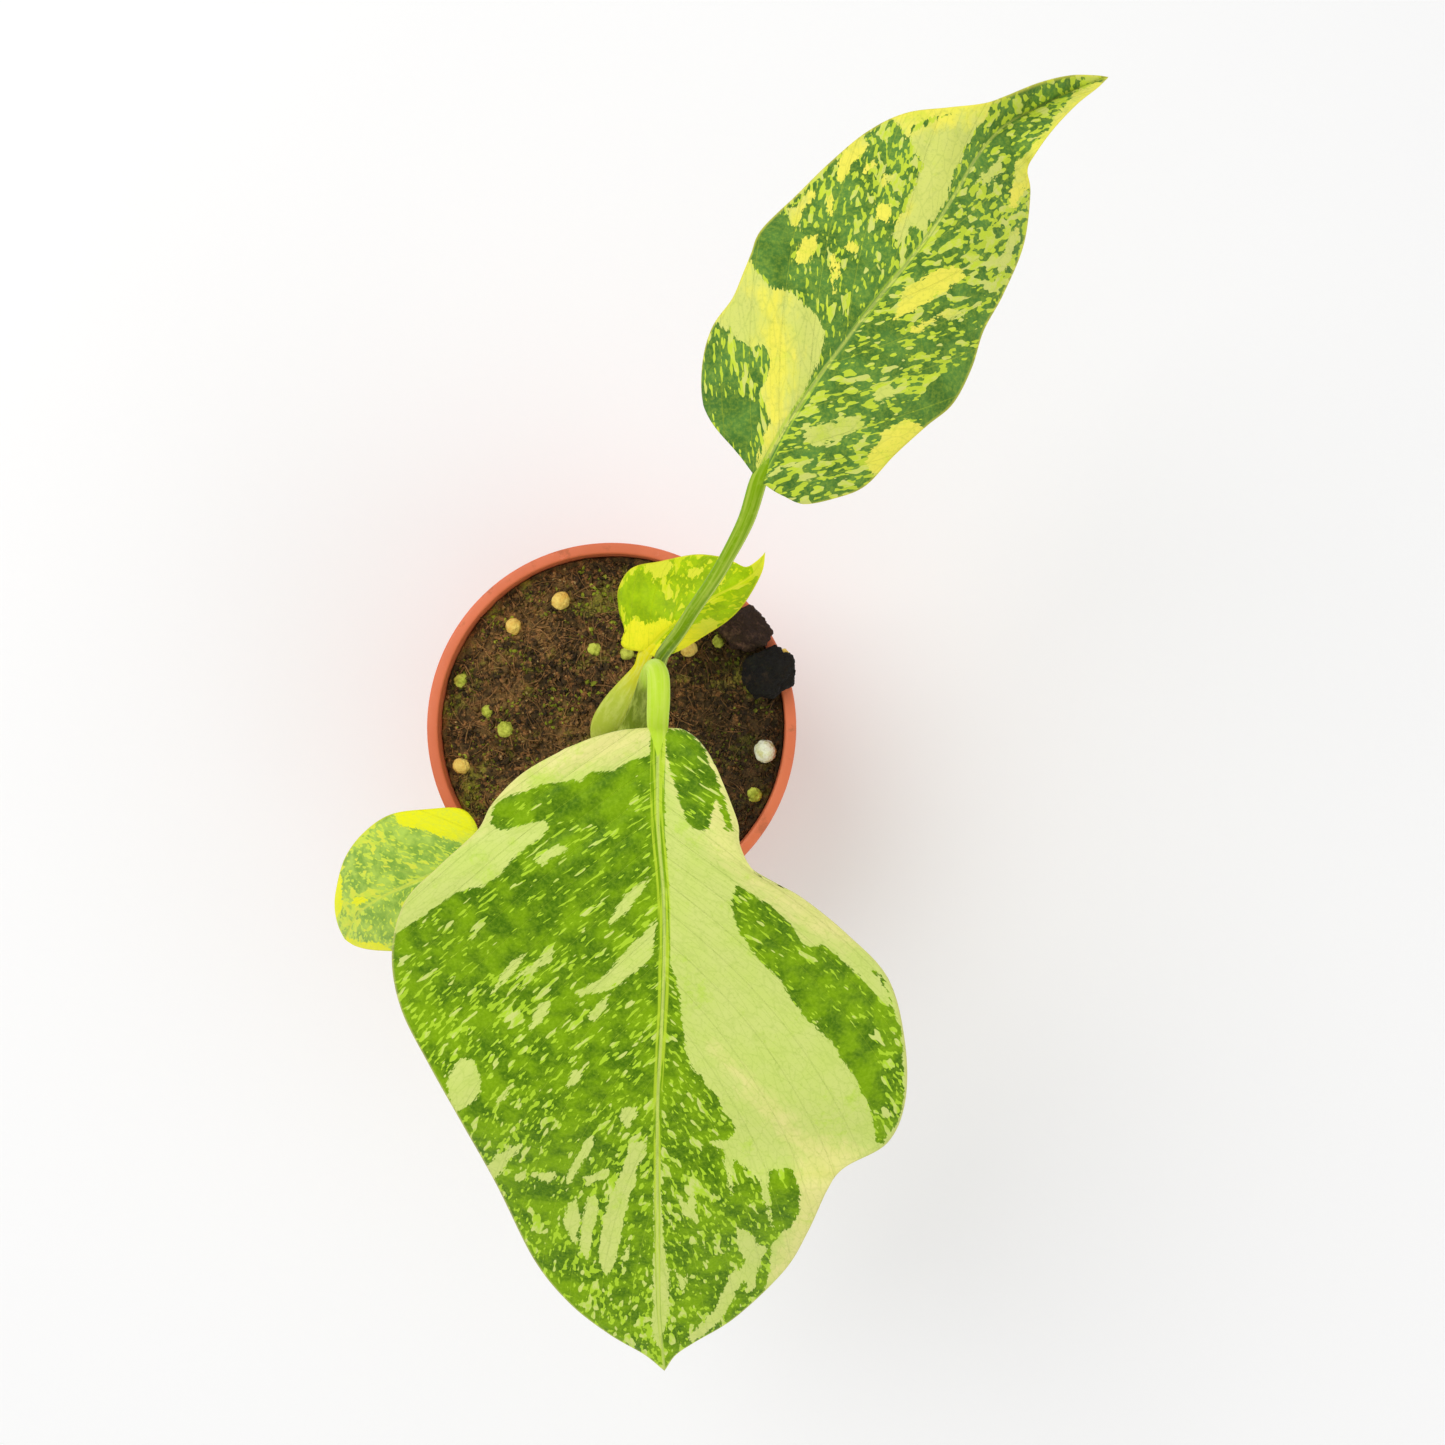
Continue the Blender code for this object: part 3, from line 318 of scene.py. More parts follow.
def fill_inputs(tree, node, values):
    """Sets a node's inputs, or links them where the value is a socket."""
    for key, value in values.items():
        if isinstance(value, bpy.types.NodeSocket):
            tree.links.new(value, node.inputs[key])
        else:
            node.inputs[key].default_value = value


def put(tree, kind, values=(), **settings):
    """A new node, with its settings made and its inputs set or joined."""
    node = tree.nodes.new(kind)
    for key, value in settings.items():
        setattr(node, key, value)
    fill_inputs(tree, node, dict(values))
    return node


def calc(tree, operation, *values):
    """The result of one arithmetic node."""
    return put(tree, "ShaderNodeMath", dict(enumerate(values)), operation=operation).outputs[0]


def ramp(tree, value, low, high, start=0.0, end=1.0):
    """A value eased from start to end as it goes from low to high."""
    inputs = {"Value": value, "From Min": low, "From Max": high, "To Min": start, "To Max": end}
    return put(tree, "ShaderNodeMapRange", inputs, interpolation_type="SMOOTHSTEP").outputs[0]


def blend(tree, share, first, second):
    """Two colours mixed."""
    return put(tree, "ShaderNodeMix", {0: share, 6: first, 7: second},
               data_type="RGBA").outputs[2]


def cloud(tree, place, scale, detail=2.0, roughness=0.5):
    """Noise from 0 to 1."""
    inputs = {"Vector": place, "Scale": scale, "Detail": detail, "Roughness": roughness}
    return put(tree, "ShaderNodeTexNoise", inputs).outputs["Fac"]


def group(name, inputs, outputs):
    """An empty shader group with named sockets, and its ends."""
    tree = bpy.data.node_groups.new(name, "ShaderNodeTree")
    for label, kind, value in inputs:
        socket = tree.interface.new_socket(label, in_out="INPUT", socket_type=kind)
        if value is not None:
            socket.default_value = value
    for label in outputs:
        tree.interface.new_socket(label, in_out="OUTPUT", socket_type="NodeSocketFloat")
    return tree, tree.nodes.new("NodeGroupInput").outputs, tree.nodes.new("NodeGroupOutput").inputs


def place_group(tree, made, values):
    """Places a node group, with its inputs set or linked, and gives its outputs."""
    node = tree.nodes.new("ShaderNodeGroup")
    node.node_tree = made
    fill_inputs(tree, node, values)
    return node.outputs


def material(name, roughness=0.5, specular=0.5):
    """A new material, its tree and its shader."""
    made = bpy.data.materials.new(name)
    made.use_nodes = True
    shader = made.node_tree.nodes["Principled BSDF"]
    shader.inputs["Roughness"].default_value = roughness
    shader.inputs["Specular IOR Level"].default_value = specular
    return made, made.node_tree, shader


def attribute(tree, name, output="Vector"):
    """A value that the mesh carries."""
    return put(tree, "ShaderNodeAttribute", attribute_name=name).outputs[output]


def bump(tree, shader, height, distance):
    """Fine relief on a shader, distance metres deep where the height is 1."""
    made = put(tree, "ShaderNodeBump", {"Height": height, "Distance": distance, "Strength": 1.0})
    tree.links.new(made.outputs[0], shader.inputs["Normal"])


def object_place(tree):
    """Where a point is on the object, in metres."""
    return put(tree, "ShaderNodeTexCoord").outputs["Object"]


FLOAT, VECTOR = "NodeSocketFloat", "NodeSocketVector"


def variegation_group():
    """Masks for the pale patches, flecks and specks of a blade, drawn out along its side veins."""
    tree, given, out = group(
        "variegation",
        (("Veins", VECTOR, None), ("Patches", VECTOR, None), ("Blot Amount", FLOAT, 0.0),
         ("Fleck Amount", FLOAT, 0.0), ("Speck Amount", FLOAT, 0.0), ("Fleck Length", FLOAT, 1.9),
         ("Fleck Scale", FLOAT, 0.6), ("Jag", FLOAT, 0.6), ("Crowd at Base", FLOAT, -0.04),
         ("Crowd at Tip", FLOAT, 0.02), ("Blade Length", FLOAT, 100.0)),
        ("Pale", "Warm", "Fleck", "Speck", "Streak"))
    vein = put(tree, "ShaderNodeSeparateXYZ", {0: given["Veins"]}).outputs
    patch = put(tree, "ShaderNodeSeparateXYZ", {0: given["Patches"]}).outputs
    half = calc(tree, "MULTIPLY", calc(tree, "SIGN", vein[2]), 31.0)
    drawn = calc(tree, "DIVIDE", vein[1], given["Fleck Length"])
    place = put(tree, "ShaderNodeCombineXYZ", {0: vein[0], 1: drawn, 2: half}).outputs[0]
    coarse = cloud(tree, place, 0.55, 3.0, 0.65)
    fine = cloud(tree, place, 1.9, 3.0, 0.65)
    wander = calc(tree, "MULTIPLY", calc(tree, "SUBTRACT", coarse, 0.5), 3.0)
    wander = calc(tree, "MULTIPLY_ADD", calc(tree, "SUBTRACT", fine, 0.5), 2.6, wander)
    edge = calc(tree, "MULTIPLY_ADD", wander, given["Jag"], patch[0])
    tree.links.new(ramp(tree, edge, -0.09, 0.09), out["Pale"])
    warm = calc(tree, "MULTIPLY_ADD", calc(tree, "SUBTRACT", coarse, 0.5), 9.0, patch[1])
    tree.links.new(ramp(tree, warm, -2.5, 2.5), out["Warm"])
    area = cloud(tree, place, 0.09, 1.0, 0.5)
    crowd = calc(tree, "MULTIPLY_ADD", calc(tree, "SUBTRACT", area, 0.5), 0.26, -0.13)
    plain = ramp(tree, patch[2], -0.6, 0.6)
    crowd = calc(tree, "SUBTRACT", crowd, calc(tree, "MULTIPLY", plain, 0.25))
    along = calc(tree, "DIVIDE", vein[1], given["Blade Length"])
    drift = calc(tree, "SUBTRACT", given["Crowd at Tip"], given["Crowd at Base"])
    drift = calc(tree, "MULTIPLY_ADD", along, drift, given["Crowd at Base"])
    crowd = calc(tree, "ADD", crowd, drift)
    moved = put(tree, "ShaderNodeVectorMath", {0: place, 1: (17.0, 5.0, 3.0)}, operation="ADD")
    masks = {}
    for label, scale, detail in (("Blot", 0.3, 2.0), ("Fleck", given["Fleck Scale"], 1.4),
                                 ("Speck", 1.25, 0.8)):
        spots = cloud(tree, moved.outputs[0], scale, detail, 0.5)
        level = calc(tree, "MULTIPLY_ADD", given[label + " Amount"], 0.2, crowd)
        spots = calc(tree, "SUBTRACT", calc(tree, "ADD", spots, level), 0.5)
        masks[label] = ramp(tree, spots, -0.006, 0.012)
    tree.links.new(calc(tree, "MAXIMUM", masks["Blot"], masks["Fleck"]), out["Fleck"])
    tree.links.new(masks["Speck"], out["Speck"])
    tree.links.new(coarse, out["Streak"])
    return tree


def vein_group():
    """Side veins: thin lines, and the fine net that joins them."""
    tree, given, out = group(
        "side_veins", (("Veins", VECTOR, None), ("Spacing", FLOAT, VEIN_SPACING),
                       ("Width", FLOAT, 0.2)), ("Line", "Net"))
    vein = put(tree, "ShaderNodeSeparateXYZ", {0: given["Veins"]}).outputs
    turned = calc(tree, "MULTIPLY", calc(tree, "SIGN", vein[2]), SIDE_SHIFT)
    number = calc(tree, "ADD", calc(tree, "DIVIDE", vein[0], given["Spacing"]), turned)
    off = calc(tree, "MULTIPLY", calc(tree, "PINGPONG", number, 0.5), given["Spacing"])
    tree.links.new(calc(tree, "SUBTRACT", 1.0, ramp(tree, off, 0.0, given["Width"])), out["Line"])
    drawn = calc(tree, "MULTIPLY", vein[1], 0.5)
    place = put(tree, "ShaderNodeCombineXYZ", {0: vein[0], 1: drawn, 2: turned}).outputs[0]
    cells = put(tree, "ShaderNodeTexVoronoi", {"Vector": place, "Scale": 0.62},
                feature="DISTANCE_TO_EDGE").outputs["Distance"]
    tree.links.new(calc(tree, "SUBTRACT", 1.0, ramp(tree, cells, 0.0, 0.09)), out["Net"])
    return tree


def midrib_group():
    """Where a blade's midrib shows, the stripes along it and its pale centre line."""
    tree, given, out = group(
        "midrib", (("Veins", VECTOR, None), ("Blade Length", FLOAT, 100.0),
                   ("Base Width", FLOAT, 1.5), ("Tip Width", FLOAT, 0.3)),
        ("On", "Stripe", "Centre"))
    part = put(tree, "ShaderNodeSeparateXYZ", {0: given["Veins"]}).outputs
    away = calc(tree, "ABSOLUTE", part[2])
    share = calc(tree, "DIVIDE", part[1], given["Blade Length"])
    thinner = calc(tree, "SUBTRACT", given["Tip Width"], given["Base Width"])
    width = calc(tree, "MULTIPLY_ADD", share, thinner, given["Base Width"])
    outside = ramp(tree, calc(tree, "SUBTRACT", away, width), -0.25, 0.1)
    tree.links.new(calc(tree, "SUBTRACT", 1.0, outside), out["On"])
    drawn = calc(tree, "MULTIPLY", part[1], 0.03)
    place = put(tree, "ShaderNodeCombineXYZ", {0: part[2], 1: drawn}).outputs[0]
    tree.links.new(ramp(tree, cloud(tree, place, 2.1, 2.0, 0.6), 0.44, 0.52), out["Stripe"])
    tree.links.new(ramp(tree, away, 0.1, 0.45, 0.7, 0.0), out["Centre"])
    return tree


def skin_group():
    """Soft mottling, fine grain and faint bruised patches of living tissue."""
    tree, given, out = group("living_skin", (("Place", VECTOR, None),),
                             ("Mottle", "Grain", "Bruise"))
    tree.links.new(cloud(tree, given["Place"], 170.0, 3.0, 0.6), out["Mottle"])
    tree.links.new(cloud(tree, given["Place"], 1500.0, 2.0, 0.7), out["Grain"])
    tree.links.new(ramp(tree, cloud(tree, given["Place"], 90.0, 5.0, 0.8), 0.54, 0.7, 0.0, 0.5),
                   out["Bruise"])
    return tree


def blade_material(name, groups, colours, amounts, length, rib):
    """A leaf blade: colours are (deep, green, lime, pale, warm, midrib), amounts tune its flecks,
    and rib is the midrib's half width at the base and the tip, and how much it shows."""
    deep, green, lime, pale, warm, rib_colour = colours
    made, tree, shader = material(name, BLADE_ROUGHNESS, BLADE_SPECULAR)
    veins, patches = attribute(tree, "veins"), attribute(tree, "patches")
    rim = put(tree, "ShaderNodeSeparateXYZ", {0: attribute(tree, "rim")}).outputs
    masks = place_group(tree, groups["variegation"],
                        {"Veins": veins, "Patches": patches, "Blade Length": length, **amounts})
    lines = place_group(tree, groups["veins"], {"Veins": veins})
    ribs = place_group(tree, groups["midrib"], {"Veins": veins, "Blade Length": length,
                                                "Base Width": rib[0], "Tip Width": rib[1]})
    skin = place_group(tree, groups["skin"],
                       {"Place": object_place(tree)})
    mottle, grain = skin["Mottle"], skin["Grain"]

    colour = blend(tree, ramp(tree, mottle, 0.36, 0.64), deep, green)
    colour = blend(tree, ramp(tree, masks["Streak"], 0.45, 0.75, 0.0, 0.25), colour, deep)
    colour = blend(tree, ramp(tree, grain, 0.35, 0.75, 0.0, 0.22), colour, lime)
    colour = blend(tree, calc(tree, "MULTIPLY", lines["Line"], 0.2), colour, lime)
    soft = blend(tree, ramp(tree, masks["Streak"], 0.4, 0.6), lime, pale)
    colour = blend(tree, calc(tree, "MULTIPLY", masks["Speck"], 0.85), colour, lime)
    colour = blend(tree, calc(tree, "MULTIPLY", masks["Fleck"], 0.95), colour, soft)

    light = blend(tree, masks["Warm"], pale, warm)
    light = blend(tree, ramp(tree, mottle, 0.3, 0.7, 0.0, 0.2), light, lime)
    light = blend(tree, calc(tree, "MULTIPLY", lines["Net"], 0.13), light, green)
    light = blend(tree, calc(tree, "MULTIPLY", lines["Line"], 0.08), light, green)
    light = blend(tree, skin["Bruise"], light, lime)
    light = blend(tree, ramp(tree, grain, 0.5, 0.75, 0.0, 0.2), light, green)
    colour = blend(tree, masks["Pale"], colour, light)

    ribbed = blend(tree, ribs["Stripe"], green, rib_colour)
    ribbed = blend(tree, ribs["Centre"], ribbed, pale)
    colour = blend(tree, calc(tree, "MULTIPLY", ribs["On"], rib[2]), colour, ribbed)
    colour = blend(tree, ramp(tree, rim[0], 0.0, 0.55, 0.55, 0.0), colour, warm)
    dull = blend(tree, 0.45, colour, tint(196, 212, 138))
    colour = blend(tree, rim[1], colour, dull)
    tree.links.new(colour, shader.inputs["Base Color"])
    rough = ramp(tree, mottle, 0.3, 0.7, BLADE_ROUGHNESS - 0.06, BLADE_ROUGHNESS + 0.1)
    tree.links.new(calc(tree, "MULTIPLY_ADD", rim[1], 0.18, rough), shader.inputs["Roughness"])
    height = calc(tree, "MULTIPLY_ADD", lines["Line"], -0.5, calc(tree, "MULTIPLY", grain, 0.25))
    height = calc(tree, "MULTIPLY_ADD", lines["Net"], -0.16, height)
    height = calc(tree, "MULTIPLY_ADD", mottle, 0.5, height)
    bump(tree, shader, height, BLADE_GRAIN_DEPTH)
    return made


# ---- Curves and meshes -----------------------------------------------------------------------
def smooth_curve(points, count, shares=None):
    """Points spaced evenly, or at given shares, along a Catmull-Rom curve through the points."""
    p = np.array(points, float)
    p = np.vstack([2 * p[0] - p[1], p, 2 * p[-1] - p[-2]])
    fine = []
    for i in range(1, len(p) - 2):
        for t in np.linspace(0, 1, 16, endpoint=False):
            fine.append(0.5 * (2 * p[i] + (p[i + 1] - p[i - 1]) * t
                               + (2 * p[i - 1] - 5 * p[i] + 4 * p[i + 1] - p[i + 2]) * t ** 2
                               + (3 * p[i] - p[i - 1] - 3 * p[i + 1] + p[i + 2]) * t ** 3))
    fine = np.array(fine + [p[-2]])
    run = np.concatenate([[0], np.cumsum(np.linalg.norm(np.diff(fine[:, :3], axis=0), axis=1))])
    steps = run[-1] * (np.linspace(0, 1, count) if shares is None else np.asarray(shares))
    return np.column_stack([np.interp(steps, run, fine[:, k]) for k in range(fine.shape[1])])


def piece(name, vertices, faces, finish, replaced=(), fields=None):
    """A finished piece from millimetre vertices, on the root body, in place of CAD nodes."""
    mesh = bpy.data.meshes.new(name)
    points = np.asarray(vertices, float) * MM
    mesh.from_pydata(points.tolist(), [], faces)
    mesh.materials.append(finish)
    for label, values in (fields or {}).items():
        layer = mesh.attributes.new(label, "FLOAT_VECTOR", "POINT")
        layer.data.foreach_set("vector", np.asarray(values, np.float32).ravel())
    work = bmesh.new()
    work.from_mesh(mesh)
    bmesh.ops.recalc_face_normals(work, faces=work.faces)
    if work.calc_volume(signed=True) < 0:
        bmesh.ops.reverse_faces(work, faces=work.faces)
    work.to_mesh(mesh)
    work.free()
    mesh.shade_smooth()
    obj = bpy.data.objects.new(name, mesh)
    bpy.context.scene.collection.objects.link(obj)
    return settle(obj, replaced)


def settle(obj, replaced=()):
    """Puts a finished piece on the root body and in place of CAD nodes."""
    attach(obj, "root")
    if replaced:
        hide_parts(*replaced)
    return obj


# ---- Leaf blades -----------------------------------------------------------------------------
def blade_sheet(leaf):
    """The blade's middle surface in (along, across, rise), row by row from base to tip."""
    rows, columns = leaf.rows, leaf.columns
    tip = leaf.midrib[-1]
    share = np.linspace(0, 1, rows + 1)
    share = share + 0.12 * np.sin(math.tau * share) / math.tau
    spine = smooth_curve(leaf.midrib, rows + 1, share)
    sheet = np.zeros((rows + 1, 2 * columns + 1, 3))
    for side, turn, lobe in ((leaf.left, -1, leaf.lobes[0]), (leaf.right, 1, leaf.lobes[1])):
        curve = smooth_curve([leaf.midrib[0], *side, tip], 600)
        length = np.sum(np.linalg.norm(np.diff(curve, axis=0), axis=1))
        turn_at = lobe / length
        outs = np.linspace(0, 1, columns + 1)
        base = smooth_curve([leaf.midrib[0], *side, tip], 0, outs * turn_at)
        outer = smooth_curve([leaf.midrib[0], *side, tip], 0, turn_at + share * (1 - turn_at))
        for i, out in enumerate(outs):
            straight = base[0] + (base[-1] - base[0]) * out
            line = spine + (outer - spine) * out
            line += (base[i] - straight) * ((1 - share[:, None]) ** 4)
            reach = np.linalg.norm((outer - spine)[:, :2], axis=1)
            line[:, 2] += leaf.camber * reach * 4 * out * (1 - out)
            sheet[:, columns + turn * i] = line
    return sheet


def vein_numbers(leaf, along, across):
    """A number that is constant along each side vein. Veins run out and ever more forward."""
    reach = 0.55 * leaf.midrib[-1][0]
    steps = np.linspace(-20, leaf.midrib[-1][0] + 20, 600)
    slope = leaf.slope * np.exp((np.maximum(steps, 0) / reach) ** 2)
    sums = np.concatenate([[0], np.cumsum(np.diff(steps) / slope[1:])])
    return np.interp(along, steps, sums) - np.abs(across)


def signed_distance(points, outline):
    """How far points are inside a closed outline: negative outside."""
    corners = np.array(outline, float)
    following = np.roll(corners, -1, axis=0)
    nearest = np.full(len(points), 1e9)
    inside = np.zeros(len(points), bool)
    for a, b in zip(corners, following):
        edge = b - a
        t = np.clip(((points - a) @ edge) / (edge @ edge), 0, 1)
        nearest = np.minimum(nearest, np.linalg.norm(points - a - t[:, None] * edge, axis=1))
        crossing = (a[1] > points[:, 1]) != (b[1] > points[:, 1])
        with np.errstate(divide="ignore", invalid="ignore"):
            at = a[0] + (points[:, 1] - a[1]) * edge[0] / edge[1]
        inside ^= crossing & (points[:, 0] < at)
    return np.where(inside, nearest, -nearest)


def patch_fields(points, patches):
    """Pale, warm and plain fields, in millimetres inside each kind of patch."""
    pale, warm, plain = (np.full(len(points), -PATCH_REACH) for _ in range(3))
    for kind, outline in patches:
        depth = signed_distance(points, outline)
        if kind == "cream":
            pale = np.maximum(pale, depth)
        elif kind == "green":
            pale = np.minimum(pale, -depth)
        elif kind == "warm":
            warm = np.maximum(warm, depth)
        else:
            plain = np.maximum(plain, depth)
    return np.clip(np.column_stack([pale, warm, plain]), -PATCH_REACH, PATCH_REACH)


def make_blade(name, node, leaf, patches, finish):
    """A leaf blade: a thin closed skin with a grooved midrib above and a keel below."""
    rows, columns = leaf.rows, leaf.columns
    wide = 2 * columns + 1
    flat = blade_sheet(leaf)
    heading = math.radians(leaf.heading)
    ahead = np.array([math.cos(heading), math.sin(heading)])
    right = np.array([math.sin(heading), -math.cos(heading)])
    spine = flat[:, columns:columns + 1, :2]
    off_rib = np.linalg.norm(flat[..., :2] - spine, axis=2)
    off_rib *= np.sign(np.arange(wide) - columns)[None, :]
    margins = np.stack([flat[:, 0 if i < columns else -1, :2] for i in range(wide)], axis=1)
    to_edge = np.linalg.norm(flat[..., :2] - margins, axis=2)
    numbers = vein_numbers(leaf, flat[..., 0], flat[..., 1] - flat[:, columns, 1][:, None])
    share = np.linspace(0, 1, rows + 1)[:, None]

    quilt = -np.cos(math.tau * (numbers / VEIN_SPACING + SIDE_SHIFT * np.sign(off_rib)))
    fade = np.clip(np.abs(off_rib) / RELIEF_FROM_RIB, 0, 1) * np.clip(to_edge / RELIEF_FROM_EDGE, 0, 1)
    rise = VEIN_RELIEF * quilt * fade
    rib_size = RIB_AT_BASE - RIB_TAPER * share
    groove = np.exp(-(off_rib / (RIB_GROOVE_WIDTH * rib_size)) ** 2) * rib_size
    plan = flat[..., :1] * ahead + flat[..., 1:2] * right
    sheet = np.dstack([plan, flat[..., 2] + rise]) + leaf.base + (0, 0, soil_top)

    down, over = np.gradient(sheet, axis=0), np.gradient(sheet, axis=1)
    normals = np.cross(over, down)
    normals[-1] = normals[-2]
    normals /= np.maximum(np.linalg.norm(normals, axis=2, keepdims=True), 1e-9)
    normals *= np.where(normals[..., 2:] < 0, -1, 1)
    thin = np.clip(to_edge / EDGE_TAPER, EDGE_SHARE, 1) * (1 - 0.5 * share ** 8)
    upper = sheet + normals * (0.5 * BLADE_THICKNESS * thin - RIB_GROOVE_DEPTH * groove)[..., None]
    lower = sheet - normals * (0.5 * BLADE_THICKNESS * thin + KEEL_DEPTH * groove)[..., None]

    fields = {"veins": np.dstack([numbers, flat[..., 0], off_rib])}
    points = flat[..., :2].reshape(-1, 2)
    fields["patches"] = patch_fields(points, patches).reshape(rows + 1, wide, 3)
    rim = np.dstack([to_edge, np.zeros_like(to_edge), np.broadcast_to(share, to_edge.shape)])
    fields["rim"] = rim
    vertices, layers = [], {key: [] for key in fields}
    for skin, under in ((upper, 0.0), (lower, 1.0)):
        vertices += [skin[:-1].reshape(-1, 3), skin[-1:, columns]]
        for key, values in fields.items():
            values = values.copy()
            if key == "rim":
                values[..., 1] = under
            layers[key] += [values[:-1].reshape(-1, 3), values[-1:, columns]]
    tip = rows * wide
    half = tip + 1
    faces = []
    for first, turn in ((0, 1), (half, -1)):
        for k in range(rows - 1):
            start = first + k * wide
            for i in range(wide - 1):
                a = start + i
                faces.append([a, a + 1, a + wide + 1, a + wide][::turn])
        for i in range(wide - 1):
            a = first + (rows - 1) * wide + i
            faces.append([a, a + 1, first + tip][::turn])
    border = list(range(wide)) + [k * wide + wide - 1 for k in range(1, rows)] + [tip]
    border += [k * wide for k in range(rows - 1, 0, -1)]
    for a, b in zip(border, border[1:] + border[:1]):
        faces.append([b, a, a + half, b + half])
    layers = {key: np.vstack(parts) for key, parts in layers.items()}
    return piece(name, np.vstack(vertices), faces, finish, [node], fields=layers)


# ---- Stalks and stem -------------------------------------------------------------------------
FIELD, POINTS = "FLOAT", "POINT"
STALK_STATIONS, STALK_SIDES, END_ROUNDING = 120, 28, 1.2
RIB_HEIGHT, RIB_COUNT = 0.03, 5.0  # the ribs' height is a share of the stalk's half width


def geometry_tree(name, inputs):
    """An empty geometry tree with named inputs, and its ends."""
    tree = bpy.data.node_groups.new(name, "GeometryNodeTree")
    tree.interface.new_socket("Geometry", in_out="INPUT", socket_type="NodeSocketGeometry")
    for label, kind in inputs:
        tree.interface.new_socket(label, in_out="INPUT", socket_type="NodeSocket" + kind)
    tree.interface.new_socket("Geometry", in_out="OUTPUT", socket_type="NodeSocketGeometry")
    return tree, tree.nodes.new("NodeGroupInput").outputs, tree.nodes.new("NodeGroupOutput").inputs


def close_tree(tree, geometry, finish, out):
    """Ends a geometry tree: smooth, real and with its material."""
    smooth = put(tree, "GeometryNodeSetShadeSmooth", {"Geometry": geometry}).outputs[0]
    real = put(tree, "GeometryNodeRealizeInstances", {"Geometry": smooth}).outputs[0]
    made = put(tree, "GeometryNodeSetMaterial", {"Geometry": real, "Material": finish}).outputs[0]
    tree.links.new(made, out["Geometry"])


def vector_calc(tree, operation, *values):
    """The result of one vector node."""
    node = put(tree, "ShaderNodeVectorMath", operation=operation)
    for socket, value in zip((s for s in node.inputs if s.enabled), values):
        if isinstance(value, bpy.types.NodeSocket):
            tree.links.new(value, socket)
        else:
            socket.default_value = value
    return next(socket for socket in node.outputs if socket.enabled)


def grow(name, source, tree, inputs, replaced=()):
    """A piece made by running a geometry tree over a source mesh in metres."""
    holder = bpy.data.objects.new(name + "_source", source)
    bpy.context.scene.collection.objects.link(holder)
    modifier = holder.modifiers.new("grow", "NODES")
    modifier.node_group = tree
    for item in tree.interface.items_tree:
        if item.item_type == "SOCKET" and item.in_out == "INPUT" and item.name in inputs:
            modifier[item.identifier] = inputs[item.name]
    view = bpy.context.evaluated_depsgraph_get()
    mesh = bpy.data.meshes.new_from_object(holder.evaluated_get(view))
    bpy.data.objects.remove(holder)
    mesh.name = name
    mesh.materials.clear()
    mesh.materials.append(inputs["Finish"])
    mesh.polygons.foreach_set("material_index", [0] * len(mesh.polygons))
    obj = bpy.data.objects.new(name, mesh)
    bpy.context.scene.collection.objects.link(obj)
    return settle(obj, replaced)


